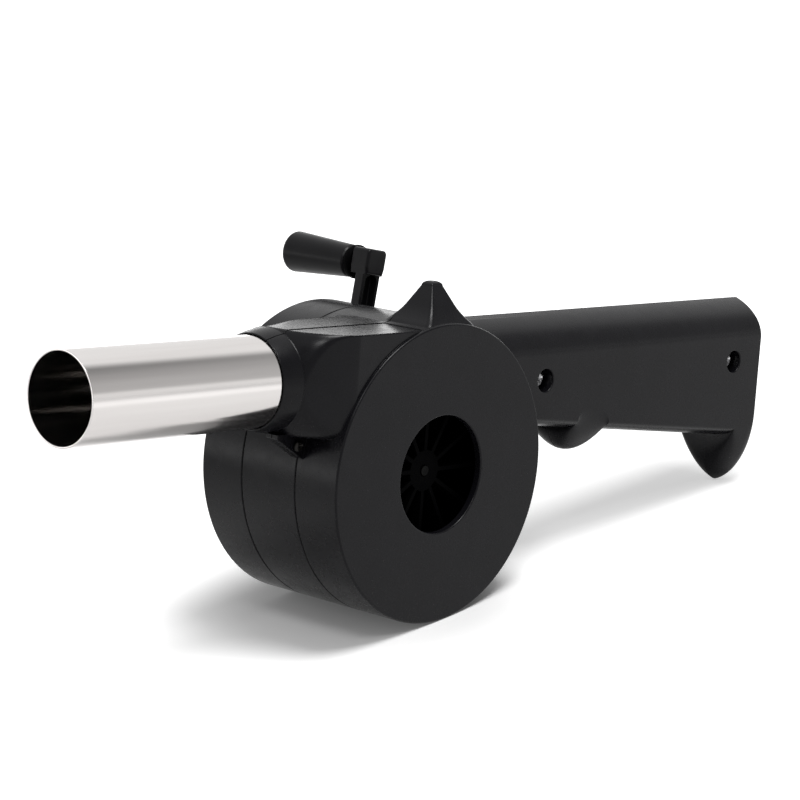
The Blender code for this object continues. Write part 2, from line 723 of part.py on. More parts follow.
def gear_cover(form, parent):
    shell = shell_of("gear_cover", form, BACK_Y - OUTSIDE, SECOND_SEAM_Y - SEAM_GAP / 2, parent)
    chamber = rod_y("gear_chamber", CHAMBER_RADIUS, 0, 0, BACK_Y + WALL, FIRST_SEAM_Y, parent, DRUM_STEPS)
    cut(shell, as_tool(chamber))
    for number, x, z in cover_screw_places():
        top = SECOND_SEAM_Y - COVER_BOSS_SPLIT - SEAM_GAP
        column = rod_y(f"column_{number}", COVER_BOSS_RADIUS, x, z, BACK_Y + WALL / 2, top, parent)
        recess = rod_y(f"cover_recess_{number}", SCREW_HEAD_RADIUS + FIXED_GAP, x, z, BACK_Y - OUTSIDE,
                       BACK_Y + COVER_RECESS_DEPTH, parent)
        hole = rod_y(f"cover_hole_{number}", SCREW_SHANK_RADIUS + FIXED_GAP, x, z, BACK_Y - OUTSIDE,
                     OUTSIDE, parent, TINY_STEPS)
        join(shell, as_tool(column))
        cut(shell, as_tool(recess), as_tool(hole))
    hub_top = gear_levels()[2] - CRANK_GEAR_WIDTH - SEAM_GAP
    hub = rod_y("cover_hub", COVER_HUB_RADIUS, CRANK_X, 0, BACK_Y - COVER_HUB_HEIGHT, hub_top, parent)
    idler_x, idler_z = idler_place()
    axle_boss = rod_y("axle_boss", AXLE_RADIUS + BUSH_BOSS_WALL, idler_x, idler_z, BACK_Y + WALL / 2,
                      idler_outer_y() - SEAM_GAP, parent)
    join(shell, as_tool(hub), as_tool(axle_boss))
    bore_radius = CRANK_SHAFT_RADIUS + RUNNING_GAP
    bore = rod_y("crank_bore", bore_radius, CRANK_X, 0, BACK_Y - OUTSIDE, OUTSIDE, parent)
    hole_radius = AXLE_RADIUS + FIXED_GAP
    axle_hole = rod_y("axle_hole", hole_radius, idler_x, idler_z, BACK_Y + WALL / 2, OUTSIDE, parent)
    return cut(shell, as_tool(bore), as_tool(axle_hole))


def idler_outer_y():
    """The outer end of the idler's pinion."""
    return gear_levels()[1] - IDLER_GEAR_WIDTH - IDLER_PINION_WIDTH


def outlet_tube(parent):
    length = TUBE_INSERTED + TUBE_EXPOSED
    bore = TUBE_RADIUS - TUBE_WALL
    profile = [(bore, length), (TUBE_RADIUS, length), (TUBE_RADIUS, 0.0), (bore, 0.0)]
    start = (COLLAR_END_X - TUBE_INSERTED + FIXED_GAP, TUBE_Y, TUBE_Z)
    return turned("outlet_tube", profile, parent, TUBE_STEPS, (1, 0, 0), start)


def fan_outline():
    """The hub and the blades seen along the axis."""
    points = []
    half_root = math.asin(BLADE_THICKNESS / 2 / FAN_HUB_RADIUS)
    half_tip = math.asin(BLADE_THICKNESS / 2 / FAN_RADIUS)
    pitch = 2 * math.pi / FAN_BLADES
    for blade in range(FAN_BLADES):
        middle = blade * pitch
        for radius, angle in (
            (FAN_HUB_RADIUS, middle - half_root),
            (FAN_RADIUS, middle - half_tip),
            (FAN_RADIUS, middle + half_tip),
            (FAN_HUB_RADIUS, middle + half_root),
            (FAN_HUB_RADIUS, middle + pitch / 2),
        ):
            points.append((radius * math.cos(angle), radius * math.sin(angle)))
    return points


def circle(radius, steps):
    angles = [2 * math.pi * index / steps for index in range(steps)]
    return [(radius * math.cos(angle), radius * math.sin(angle)) for angle in angles]


def fan(parent):
    back = CHAMBER_BACK_Y + FAN_TO_PARTITION
    bore = circle(FAN_SHAFT_RADIUS + FIXED_GAP, SMALL_STEPS)
    made = plate("fan", [fan_outline(), bore], back + FAN_DISC / 2, -WALL - FAN_TO_INLET, parent)
    disc = plate("fan_disc", [circle(FAN_RADIUS, 60), bore], back, back + FAN_DISC, parent)
    return join(made, as_tool(disc))


def fan_shaft(parent):
    start = gear_levels()[0] - FAN_PINION_WIDTH - SEAM_GAP
    return rod_y("fan_shaft", FAN_SHAFT_RADIUS, 0, 0, start, -WALL - FAN_TO_INLET + SEAM_GAP, parent)


def fan_bush(parent):
    bore = FAN_SHAFT_RADIUS + RUNNING_GAP
    profile = [(bore, BUSH_LENGTH), (BUSH_RADIUS, BUSH_LENGTH), (BUSH_RADIUS, 0.0), (bore, 0.0)]
    return turned("fan_bush", profile, parent, SMALL_STEPS, (0, 1, 0), (0, PARTITION_Y - BUSH_PROUD, 0))


def involute(angle):
    return math.tan(angle) - angle


def gear_outline(teeth, phase):
    """A gear's outline, with the middle of one tooth at the angle phase."""
    pitch_radius = GEAR_MODULE * teeth / 2
    base = pitch_radius * math.cos(PRESSURE_ANGLE)
    tip = pitch_radius + ADDENDUM * GEAR_MODULE
    root = pitch_radius - DEDENDUM * GEAR_MODULE
    thickness = math.pi * GEAR_MODULE / 2 - TOOTH_THINNING
    half_at_pitch = thickness / 2 / pitch_radius
    radii = sorted({root, max(root, base), pitch_radius, tip})
    flank = []
    for radius in radii:
        pressure = math.acos(min(1.0, base / radius))
        flank.append((radius, half_at_pitch + involute(PRESSURE_ANGLE) - involute(pressure)))
    points = []
    for tooth in range(teeth):
        middle = phase + 2 * math.pi * tooth / teeth
        sides = [(radius, middle - half) for radius, half in flank]
        sides += [(radius, middle + half) for radius, half in reversed(flank)]
        points += [(radius * math.cos(angle), radius * math.sin(angle)) for radius, angle in sides]
    return points


def direction(start, end):
    return math.atan2(end[1] - start[1], end[0] - start[0])


def gear(name, teeth, phase, bore, y_outer, width, parent):
    outlines = [gear_outline(teeth, phase), circle(bore, SMALL_STEPS)]
    return plate(name, outlines, y_outer - width, y_outer, parent)


def fan_pinion(parent):
    towards_idler = direction((0.0, 0.0), idler_place())
    phase = towards_idler + math.pi / PINION_TEETH
    bore = FAN_SHAFT_RADIUS + FIXED_GAP
    return gear("fan_pinion", PINION_TEETH, phase, bore, gear_levels()[0], FAN_PINION_WIDTH, parent)


def idler_gear(parent):
    """The idler's wide wheel and its pinion, moulded in one."""
    place = idler_place()
    bore = AXLE_RADIUS + RUNNING_GAP
    wheel_phase = direction(place, (0.0, 0.0))
    pinion_phase = direction(place, (CRANK_X, 0.0)) + math.pi / PINION_TEETH
    top = gear_levels()[1]
    wheel = gear("idler_gear", IDLER_GEAR_TEETH, wheel_phase, bore, top, IDLER_GEAR_WIDTH, parent)
    pinion_top = top - IDLER_GEAR_WIDTH / 2
    width = IDLER_PINION_WIDTH + IDLER_GEAR_WIDTH / 2
    pinion = gear("idler_pinion", PINION_TEETH, pinion_phase, bore, pinion_top, width, parent)
    return join(wheel, as_tool(pinion))


def idler_axle(parent):
    x, z = idler_place()
    start = BACK_Y + WALL / 2 + SEAM_GAP
    return rod_y("idler_axle", AXLE_RADIUS, x, z, start, PARTITION_Y + AXLE_SEAT - SEAM_GAP, parent)


def crank_gear(parent):
    phase = direction((CRANK_X, 0.0), idler_place())
    bore = CRANK_SHAFT_RADIUS + FIXED_GAP
    return gear("crank_gear", CRANK_GEAR_TEETH, phase, bore, gear_levels()[2], CRANK_GEAR_WIDTH, parent)


def arm_inner_y():
    """The face of the arm's hub that turns against the cover's hub."""
    return BACK_Y - COVER_HUB_HEIGHT - SEAM_GAP


def crank_shaft(parent):
    """A stepped shaft with a spigot in the partition and a screw hole in its outer end."""
    end = arm_inner_y() - ARM_HUB_DEPTH + WALL + SEAM_GAP
    shoulder = PARTITION_Y - SPIGOT_BOSS - SEAM_GAP
    spigot_end = shoulder + SPIGOT_LENGTH
    length = spigot_end - end
    hole = CRANK_SCREW_SHANK_RADIUS + FIXED_GAP
    hole_depth = CRANK_SCREW_LENGTH
    profile = [
        (0.0, length),
        (SPIGOT_RADIUS, length),
        (SPIGOT_RADIUS, length - SPIGOT_LENGTH),
        (CRANK_SHAFT_RADIUS, length - SPIGOT_LENGTH),
        (CRANK_SHAFT_RADIUS, 0.0),
        (hole, 0.0),
        (hole, hole_depth),
        (0.0, hole_depth),
    ]
    return turned("crank_shaft", profile, parent, SMALL_STEPS, (0, 1, 0), (0, end, 0))


def knob_offset():
    """From the crank's axis to the knob's, along X and Z."""
    return -CRANK_LENGTH * math.sin(CRANK_LEAN), CRANK_LENGTH * math.cos(CRANK_LEAN)


def bar_outline(width, start, end):
    """A straight bar along the arm, from one distance to another."""
    x, z = knob_offset()
    along = Vector((x, z)).normalized()
    across = Vector((along.y, -along.x)) * width / 2
    corners = (along * start - across, along * start + across, along * end + across, along * end - across)
    return [(corner.x, corner.y) for corner in corners]


def crank_arm(parent):
    """A bar with a groove, a hub for the shaft and a boss for the knob."""
    inner = arm_inner_y()
    bar_top = inner - ARM_STEP
    bar_low = bar_top - ARM_THICKNESS
    x, z = knob_offset()
    arm = plate("crank_arm", [bar_outline(ARM_WIDTH, 0.0, CRANK_LENGTH)], bar_low, bar_top, parent)
    hub = rod_y("arm_hub", ARM_HUB_RADIUS, 0, 0, inner - ARM_HUB_DEPTH, inner, parent)
    boss = rod_y("knob_boss", KNOB_BOSS_RADIUS, x, z, inner - KNOB_BOSS_DEPTH, inner, parent)
    join(arm, as_tool(hub), as_tool(boss))
    groove_line = bar_outline(ARM_GROOVE_WIDTH, ARM_HUB_RADIUS, CRANK_LENGTH - KNOB_BOSS_RADIUS)
    groove = plate("arm_groove", [groove_line], bar_top - ARM_GROOVE_DEPTH, OUTSIDE, parent)
    socket_floor = inner - ARM_HUB_DEPTH + WALL
    socket = rod_y("arm_socket", CRANK_SHAFT_RADIUS + FIXED_GAP, 0, 0, socket_floor, OUTSIDE, parent)
    past = inner - 2 * ARM_HUB_DEPTH
    hole_radius = CRANK_SCREW_SHANK_RADIUS + FIXED_GAP
    screw_hole = rod_y("arm_screw_hole", hole_radius, 0, 0, past, OUTSIDE, parent, TINY_STEPS)
    pin_floor = inner - KNOB_BOSS_DEPTH + KNOB_PIN_SEAT
    pin_seat = rod_y("knob_pin_seat", KNOB_PIN_RADIUS + FIXED_GAP, x, z, past, pin_floor, parent)
    return cut(arm, as_tool(groove), as_tool(socket), as_tool(screw_hole), as_tool(pin_seat))


def knob_levels():
    """Heights along Y of the washer's and the knob's inner faces and of the knob's outer end."""
    washer = arm_inner_y() - KNOB_BOSS_DEPTH - SEAM_GAP
    knob_start = washer - KNOB_WASHER_THICKNESS - SEAM_GAP
    return washer, knob_start, knob_start - KNOB_LENGTH


def knob_washer(parent):
    x, z = knob_offset()
    bore = KNOB_PIN_RADIUS + FIXED_GAP
    height = KNOB_WASHER_THICKNESS
    profile = [(bore, height), (KNOB_WASHER_RADIUS, height), (KNOB_WASHER_RADIUS, 0.0), (bore, 0.0)]
    return turned("knob_washer", profile, parent, SMALL_STEPS, (0, -1, 0), (x, knob_levels()[0], z))


def knob(parent):
    """The turned grip, wider at its free end, with a counterbore for the pin's head."""
    bore = KNOB_PIN_RADIUS + RUNNING_GAP
    well = KNOB_PIN_HEAD_RADIUS + FIXED_GAP
    well_depth = KNOB_PIN_HEAD_HEIGHT + SEAM_GAP
    profile = [
        (well, KNOB_LENGTH),
        (KNOB_OUTER_RADIUS - KNOB_ROUND, KNOB_LENGTH),
    ]
    for angle in spread(math.pi / 2, 0.0, 4)[1:]:
        radius = KNOB_OUTER_RADIUS - KNOB_ROUND * (1.0 - math.cos(angle))
        profile.append((radius, KNOB_LENGTH - KNOB_ROUND * (1.0 - math.sin(angle))))
    profile += [
        (KNOB_INNER_RADIUS, KNOB_ROUND / 2),
        (KNOB_INNER_RADIUS - KNOB_ROUND / 4, 0.0),
        (bore, 0.0),
        (bore, KNOB_LENGTH - well_depth),
        (well, KNOB_LENGTH - well_depth),
    ]
    return turned("knob", profile, parent, SMALL_STEPS + 8, (0, -1, 0), (0, knob_levels()[1], 0))


def headed_pin(name, head, shank_radius, length, parent, facing, place):
    """A pin or screw. Its head, given as (radius, height), starts at place and faces out."""
    head_radius, head_height = head
    dome = head_height / 3
    profile = [
        (0.0, head_height),
        (head_radius * 0.7, head_height - dome / 4),
        (head_radius, head_height - dome * 1.5),
        (head_radius, 0.0),
        (shank_radius, 0.0),
        (shank_radius, shank_radius - length),
        (shank_radius / 2, -length),
        (0.0, -length),
    ]
    return turned(name, profile, parent, TINY_STEPS, facing, place)


def knob_pin(parent):
    x, z = knob_offset()
    seat = arm_inner_y() - KNOB_BOSS_DEPTH + KNOB_PIN_SEAT - SEAM_GAP
    head_y = knob_levels()[2] + KNOB_PIN_HEAD_HEIGHT
    head = (KNOB_PIN_HEAD_RADIUS, KNOB_PIN_HEAD_HEIGHT)
    place = (x, head_y, z)
    return headed_pin("knob_pin", head, KNOB_PIN_RADIUS, seat - head_y, parent, (0, -1, 0), place)


def crank_screw(parent):
    y = arm_inner_y() - ARM_HUB_DEPTH - SEAM_GAP
    head = (CRANK_SCREW_HEAD_RADIUS, CRANK_SCREW_HEAD_HEIGHT)
    return headed_pin("crank_screw", head, CRANK_SCREW_SHANK_RADIUS, CRANK_SCREW_LENGTH, parent,
                      (0, -1, 0), (0, y, 0))


def handle_screws(parent):
    y = FIRST_SEAM_Y + HANDLE_HALF_THICKNESS - RECESS_DEPTH + SEAM_GAP
    head = (SCREW_HEAD_RADIUS, SCREW_HEAD_HEIGHT)
    for place, x in handle_screw_places():
        yield headed_pin(f"handle_screw_{place}", head, SCREW_SHANK_RADIUS, SCREW_LENGTH, parent,
                         (0, 1, 0), (x, y, HANDLE_SCREW_Z))


def lug_screw(parent):
    x, z = lug_screw_place()
    y = FIRST_SEAM_Y + LUG_HALF_THICKNESS + SEAM_GAP
    head = (LUG_SCREW_HEAD_RADIUS, LUG_SCREW_HEAD_HEIGHT)
    return headed_pin("lug_screw", head, LUG_SCREW_SHANK_RADIUS, 2 * LUG_HALF_THICKNESS, parent,
                      (0, 1, 0), (x, y, z))


def cover_screws(parent):
    y = BACK_Y + COVER_RECESS_DEPTH - SEAM_GAP
    head = (SCREW_HEAD_RADIUS, SCREW_HEAD_HEIGHT)
    for number, x, z in cover_screw_places():
        yield headed_pin(f"cover_screw_{number}", head, SCREW_SHANK_RADIUS, COVER_SCREW_LENGTH, parent,
                         (0, -1, 0), (x, y, z))


def resting_pitch():
    """The angle that brings the drum and the tip of the tail to one level."""
    pitches = []
    for distance in handle_stations():
        if distance > HANDLE_LENGTH - TAIL_LENGTH:
            x = -DRUM_RADIUS - distance
            z = bottom_z(distance)
            pitches.append(math.asin(DRUM_RADIUS / math.hypot(x, z)) - math.atan2(-z, -x))
    return min(pitches)


def stand_up(frame):
    """Pitches the casing's frame and puts the middle of the whole blower's foot at the world's origin."""
    frame.rotation_euler = (0.0, -resting_pitch(), 0.0)
    bpy.context.view_layer.update()
    graph = bpy.context.evaluated_depsgraph_get()
    points = []
    for thing in PARTS.objects:
        if thing.type == "MESH":
            mesh = thing.evaluated_get(graph).to_mesh()
            points += [thing.matrix_world @ vertex.co for vertex in mesh.vertices]
    middle = [(min(p[axis] for p in points) + max(p[axis] for p in points)) / 2 for axis in (0, 1)]
    lowest = min(point.z for point in points)
    frame.location = (-middle[0], -middle[1], -lowest)


def build():
    black = plastic("black_plastic", (0.022, 0.022, 0.025), 0.38)
    white = plastic("gear_plastic", (0.75, 0.74, 0.70), 0.45)
    steel = metal("polished_steel", (0.78, 0.76, 0.74), 0.18)
    zinc = metal("screw_steel", (0.62, 0.62, 0.63), 0.30)
    brass = metal("bush_brass", (0.72, 0.53, 0.25), 0.35)

    frame = new_empty("casing_frame")
    form = casing_form(frame)
    bpy.context.view_layer.update()
    as_part(inlet_shell(form, frame), black)
    as_part(middle_shell(form, frame), black)
    as_part(gear_cover(form, frame), black)
    as_part(outlet_tube(frame), steel)
    as_part(fan_bush(frame), brass)
    as_part(idler_axle(frame), zinc)
    as_part(lug_screw(frame), zinc)
    for screw in (*handle_screws(frame), *cover_screws(frame)):
        as_part(screw, zinc)

    fan_axis = new_empty("fan_axis", frame)
    as_part(fan(fan_axis), black)
    as_part(fan_shaft(fan_axis), zinc)
    as_part(fan_pinion(fan_axis), white)

    idler_x, idler_z = idler_place()
    idler_axis = new_empty("idler_axis", frame, (idler_x, 0.0, idler_z))
    as_part(idler_gear(idler_axis), white)

    crank_axis = new_empty("crank_axis", frame, (CRANK_X, 0.0, 0.0))
    as_part(crank_shaft(crank_axis), zinc)
    as_part(crank_gear(crank_axis), white)
    as_part(crank_arm(crank_axis), black)
    as_part(crank_screw(crank_axis), zinc)
    as_part(knob_washer(crank_axis), black)
    as_part(knob_pin(crank_axis), zinc)

    knob_x, knob_z = knob_offset()
    knob_axis = new_empty("knob_axis", crank_axis, (knob_x, 0.0, knob_z))
    as_part(knob(knob_axis), black)

    bpy.context.view_layer.update()
    stand_up(frame)


clear_scene()
PARTS = new_collection("hand_crank_blower")
TOOLS = new_collection("shaping_tools")
build()
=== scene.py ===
"""The looks of the hand crank blower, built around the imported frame.

The shells, the tube, the crank and the screws are made again in fine detail in the casing's own
frame: X along the outlet tube, Y out of the inlet face, Z up, its origin on the fan's axis at the
inlet face. Lengths are in metres.
"""

import json
import math

import bmesh
import bpy
from mathutils import Matrix, Vector


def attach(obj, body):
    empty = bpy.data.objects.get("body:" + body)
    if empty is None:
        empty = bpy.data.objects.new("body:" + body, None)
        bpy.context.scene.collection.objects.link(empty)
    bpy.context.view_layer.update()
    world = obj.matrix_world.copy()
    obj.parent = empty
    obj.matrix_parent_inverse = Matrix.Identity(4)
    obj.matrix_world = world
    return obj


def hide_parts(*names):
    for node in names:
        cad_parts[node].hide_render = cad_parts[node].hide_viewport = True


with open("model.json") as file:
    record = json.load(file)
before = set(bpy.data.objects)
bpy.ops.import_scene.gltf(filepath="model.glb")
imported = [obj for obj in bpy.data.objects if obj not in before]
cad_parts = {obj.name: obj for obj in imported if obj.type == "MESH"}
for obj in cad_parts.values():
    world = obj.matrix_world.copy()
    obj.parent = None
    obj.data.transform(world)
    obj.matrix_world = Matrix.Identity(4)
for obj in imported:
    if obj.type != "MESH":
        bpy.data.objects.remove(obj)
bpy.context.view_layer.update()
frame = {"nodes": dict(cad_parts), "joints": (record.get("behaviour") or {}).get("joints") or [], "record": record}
scene = bpy.context.scene

# Fits
SEAM_GAP = 0.0003
FIXED_GAP = 0.0002
RUNNING_GAP = 0.0001
WALL = 0.0022
OUTSIDE = 0.010
HAIR_ROUND = 0.0002
FINE_ROUND = 0.0003
RIM_ROUND = 0.0006

# Drum
DRUM_RADIUS = 0.0435
FIRST_SEAM_Y = -0.0160
SECOND_SEAM_Y = -0.0371
BACK_Y = -0.0532
SEAM_CHAMFER = 0.0002
INLET_RADIUS = 0.0171
INLET_ROUND = 0.0005
CHAMBER_RADIUS = DRUM_RADIUS - WALL
PARTITION_Y = SECOND_SEAM_Y + SEAM_GAP / 2
CHAMBER_BACK_Y = PARTITION_Y + WALL

# Outlet tube and the duct that holds it
TUBE_RADIUS = 0.0130
TUBE_WALL = 0.0006
TUBE_EXPOSED = 0.0680
TUBE_INSERTED = 0.0170
COLLAR_RADIUS = 0.0152
COLLAR_END_X = DRUM_RADIUS + 0.0148
LIP_LENGTH = 0.0068
LIP_STEP = 0.0004
LIP_TAPER = 0.0017
LIP_NOSE = 0.0033
LIP_BAND = 0.0009
TUBE_EDGE = 0.00018
DECK_Z = DRUM_RADIUS - 0.0009
TUBE_Z = DECK_Z - COLLAR_RADIUS
TUBE_Y = SECOND_SEAM_Y + SEAM_GAP + COLLAR_RADIUS
SIDE_RECESS = 0.0010
DUCT_EDGE_ROUND = 0.0007
DUCT_FOOT_ROUND = 0.0026
DUCT_FAR_ROUND = 0.0075
DUCT_BLEND = 0.0150
DUCT_BEND = 1.2
DUCT_FAR_BLEND = 0.0220
DECK_STEP = 0.0006
DECK_STEP_START = 0.26 * DRUM_RADIUS

# Handle
HANDLE_LENGTH = 0.1153
HANDLE_END_X = -DRUM_RADIUS - HANDLE_LENGTH
HANDLE_HALF_THICKNESS = 0.0115
HANDLE_TOP_Z = DRUM_RADIUS - 0.0012
HANDLE_HEIGHT_AT_DRUM = 0.0333
HANDLE_HEIGHT_AT_TAIL = 0.0445
HANDLE_TOP_ROUND = 0.0120
HANDLE_BOTTOM_ROUND = 0.0036
LOBE_DISTANCE = 0.0303
LOBE_FRONT = 0.0072
LOBE_REAR = 0.0078
LOBE_DEPTH = 0.0071
LOBE_ROUND = 0.0155
TAIL_LENGTH = 0.0106
TAIL_CURVE = 2.6
TAIL_DEPTH = 0.0155
TAIL_ROUND = 0.0210
TAIL_POINT = 0.30
TAIL_HEEL = 0.0034
HOLLOW_START = 0.0030

# Ear on top and lug under the duct
EAR_X = -0.0010
EAR_Y = -0.0097
EAR_HALF_LENGTH = 0.0082
EAR_HALF_WIDTH = 0.0080
EAR_HEIGHT = 0.0120
EAR_ROOT = 0.0060
EAR_FLARE = 0.0019
EAR_FLARE_HEIGHT = 0.0055
EAR_CROWN_HALF_LENGTH = 0.0024
EAR_CROWN_HALF_WIDTH = 0.0022
EAR_CROWN_HEIGHT = 0.0014
EAR_POINT = 0.0003
LUG_LENGTH = 0.0120
LUG_DROP = 0.0066
LUG_HALF_THICKNESS = 0.0022
LUG_END_ROUND = 0.0004
LUG_TIP_ROUND = 0.0006
LUG_SCREW_INSET = 0.0080
LUG_SCREW_DROP = 0.0024
LUG_SCREW_RADIUS = 0.0008
LUG_SCREW_HEAD = (0.0016, 0.0010)

# Screws
RECESS_RADIUS = 0.0035
RECESS_DEPTH = 0.0050
RECESS_RIM = 0.0004
SCREW_BOSS_RADIUS = 0.0052
SCREW_HEAD_RADIUS = 0.0028
SCREW_HEAD = (SCREW_HEAD_RADIUS, 0.0019)
SCREW_SHANK_RADIUS = 0.0012
SCREW_LENGTH = 0.0150
COVER_SCREW_LENGTH = 0.0100
HEAD_FLAT = 0.55
HEAD_EDGE = 0.25
CROSS_TURN = 0.35
CROSS_REACH = 0.62
CROSS_SLOT = 0.15
CROSS_DEPTH = 0.6
HANDLE_SCREW_Z = 0.0233
HANDLE_SCREWS = {"front": -DRUM_RADIUS - 0.0059, "rear": HANDLE_END_X + 0.0141}
COVER_SCREW_ANGLES = (45.0, 145.0, 300.0)
COVER_BOSS_RADIUS = 0.0042
COVER_RECESS_DEPTH = 0.0030
COVER_BOSS_SPLIT = 0.0070

# Gears and shafts that the shells make room for
CRANK_X = -0.0200
CRANK_SHAFT_RADIUS = 0.0030
SPIGOT_RADIUS = 0.0020
SPIGOT_BOSS = 0.0014
SPIGOT_LENGTH = 0.0026
BUSH_RADIUS = 0.0030
BUSH_BOSS_WALL = 0.0018
BUSH_TOP_Y = PARTITION_Y + 0.0042
IDLER_X = -0.0058
IDLER_Z = -0.0200
IDLER_OUTER_Y = -0.04875
AXLE_RADIUS = 0.0012
AXLE_SEAT = 0.0014
COVER_HUB_RADIUS = 0.0065
COVER_HUB_HEIGHT = 0.0020
COVER_HUB_TOP_Y = -0.04965
COVER_HUB_EDGE = 0.0005

# Crank
CRANK_LENGTH = 0.0527
CRANK_LEAN = math.radians(8.6)
ARM_INNER_Y = BACK_Y - COVER_HUB_HEIGHT - SEAM_GAP
ARM_HUB_RADIUS = 0.0068
ARM_HUB_DEPTH = 0.0090
ARM_HUB_EDGE = 0.0008
ARM_WIDTH = 0.0075
ARM_WIDENING = 0.0010
ARM_WIDENING_END = ARM_HUB_RADIUS + 0.0040
ARM_WIDENING_LENGTH = 0.0060
ARM_THICKNESS = 0.0034
ARM_STEP = 0.0020
ARM_GROOVE_WIDTH = 0.0052
ARM_GROOVE_DEPTH = 0.0026
ARM_GROOVE_START = ARM_HUB_RADIUS + 0.0004
ARM_GROOVE_END = CRANK_LENGTH - 0.0031
ARM_GROOVE_NARROWEST = 0.2
BLOCK_STEP = 0.0008
BLOCK_EDGE = 0.0010
BLOCK_CORNER = 0.0012
BLOCK_SHOULDER_ROUND = 0.0006
BLOCK_HALF_WIDTH = 0.0042
BLOCK_TOP = CRANK_LENGTH + 0.0046
BLOCK_SHOULDER = CRANK_LENGTH - 0.0012
BLOCK_FOOT = CRANK_LENGTH - 0.0033
KNOB_BOSS_DEPTH = 0.0075
WASHER_RADIUS = 0.0052
WASHER_THICKNESS = 0.0026
WASHER_EDGE = 0.0009
WASHER_Y = ARM_INNER_Y - KNOB_BOSS_DEPTH - SEAM_GAP
KNOB_LENGTH = 0.0248
KNOB_Y = WASHER_Y - WASHER_THICKNESS - SEAM_GAP
KNOB_INNER_RADIUS = 0.0050
KNOB_OUTER_RADIUS = 0.0064
KNOB_END_ROUND = 0.0014
KNOB_FOOT_HEIGHT = 0.0006
KNOB_FOOT_ROUND = 0.0005
KNOB_FOOT_TAPER = 0.0004
KNOB_PIN_RADIUS = 0.0020
KNOB_PIN_SEAT = 0.0060
KNOB_PIN_HEAD_RADIUS = 0.0032
KNOB_PIN_HEAD_HEIGHT = 0.0016
CRANK_SCREW_RADIUS = 0.0013
CRANK_SCREW_HEAD = (0.0030, 0.0018)
CRANK_SCREW_LENGTH = 0.0080

# Facets
DRUM_STEPS = 256
TUBE_STEPS = 192
SMALL_STEPS = 64
TINY_STEPS = 32
SCREW_STEPS = 48
WASHER_STEPS = 96
KNOB_STEPS = 128


# Where the casing lies

joint_places = {joint["name"]: Vector(joint["pos_m"]) for joint in frame["joints"]}
inlet_y = frame["record"]["mounts"][0]["pos_m"][1]
arm_run = joint_places["knob_spin"] - joint_places["crank_spin"]
pitch = math.atan2(-arm_run.x, arm_run.z) - CRANK_LEAN
fan_place = joint_places["fan_spin"]
CASING = Matrix.Translation((fan_place.x, inlet_y, fan_place.z)) @ Matrix.Rotation(-pitch, 4, "Y")


# Shaping helpers

def spread(first, last, count):
    return [first + (last - first) * index / count for index in range(count + 1)]


def smooth_step(value):
    value = min(max(value, 0.0), 1.0)
    return value * value * (3.0 - 2.0 * value)


def made(name, shape):
    """An object from a bmesh, with its faces turned outwards."""
    bmesh.ops.recalc_face_normals(shape, faces=shape.faces)
    mesh = bpy.data.meshes.new(name)
    shape.to_mesh(mesh)
    shape.free()
    thing = bpy.data.objects.new(name, mesh)
    scene.collection.objects.link(thing)
    return thing


def loft(name, sections):
    """A closed solid through loops of equally many points."""
    shape = bmesh.new()
    rings = [[shape.verts.new(point) for point in section] for section in sections]
    for ring, after in zip(rings, rings[1:]):
        for index in range(len(ring)):
            following = (index + 1) % len(ring)
            shape.faces.new((ring[index], ring[following], after[following], after[index]))
    shape.faces.new(rings[0])
    shape.faces.new(rings[-1])
    return made(name, shape)


def turned(name, profile, toward=(0, 1, 0), place=(0, 0, 0), steps=SMALL_STEPS):
    """A solid turned from a profile of (radius, height), from axis to axis or closed."""
    turn = Matrix.Translation(place) @ Vector(toward).to_track_quat("Z", "Y").to_matrix().to_4x4()
    shape = bmesh.new()
    rings = []
    for radius, height in profile:
        angles = [2 * math.pi * index / steps for index in range(steps if radius > 0.0 else 1)]
        points = [(radius * math.cos(angle), radius * math.sin(angle), height) for angle in angles]
        rings.append([shape.verts.new(turn @ Vector(point)) for point in points])
    pairs = list(zip(rings, rings[1:]))
    if profile[0][0] > 0.0:
        pairs.append((rings[-1], rings[0]))
    for first, second in pairs:
        for index in range(steps):
            after = index + 1
            corners = [ring[number % len(ring)] for ring, number in
                       ((first, index), (first, after), (second, after), (second, index))]
            shape.faces.new(list(dict.fromkeys(corners)))
    return made(name, shape)


def softened(corners, steps=5):
    """A closed outline of (first, second, radius) corners, each rounded by its radius."""
    points = []
    for index, (first, second, radius) in enumerate(corners):
        corner = Vector((first, second))
        if radius == 0.0:
            points.append(corner)
            continue
        back = (Vector(corners[index - 1][:2]) - corner).normalized()
        onward = (Vector(corners[(index + 1) % len(corners)][:2]) - corner).normalized()
        half = back.angle(onward) / 2
        middle = corner + (back + onward).normalized() * radius / math.sin(half)
        start = corner + back * radius / math.tan(half) - middle
        end = corner + onward * radius / math.tan(half) - middle
        sweep = start.angle(end)
        for share in spread(0.0, 1.0, steps):
            arm = start * math.sin((1.0 - share) * sweep) + end * math.sin(share * sweep)
            points.append(middle + arm / math.sin(sweep))
    return points


def rod(name, radius, x, z, y_start, y_end, steps=SMALL_STEPS):
    """A plain cylinder along Y, for cutting and joining."""
    low, high = min(y_start, y_end), max(y_start, y_end)
    profile = [(0.0, low), (radius, low), (radius, high), (0.0, high)]
    return turned(name, profile, (0, 1, 0), (x, 0, z), steps)


def prism(name, outline, y_low, y_high):
    """A flat outline of (x, z) points, stretched along Y."""
    return loft(name, [[Vector((x, y, z)) for x, z in outline] for y in (y_low, y_high)])


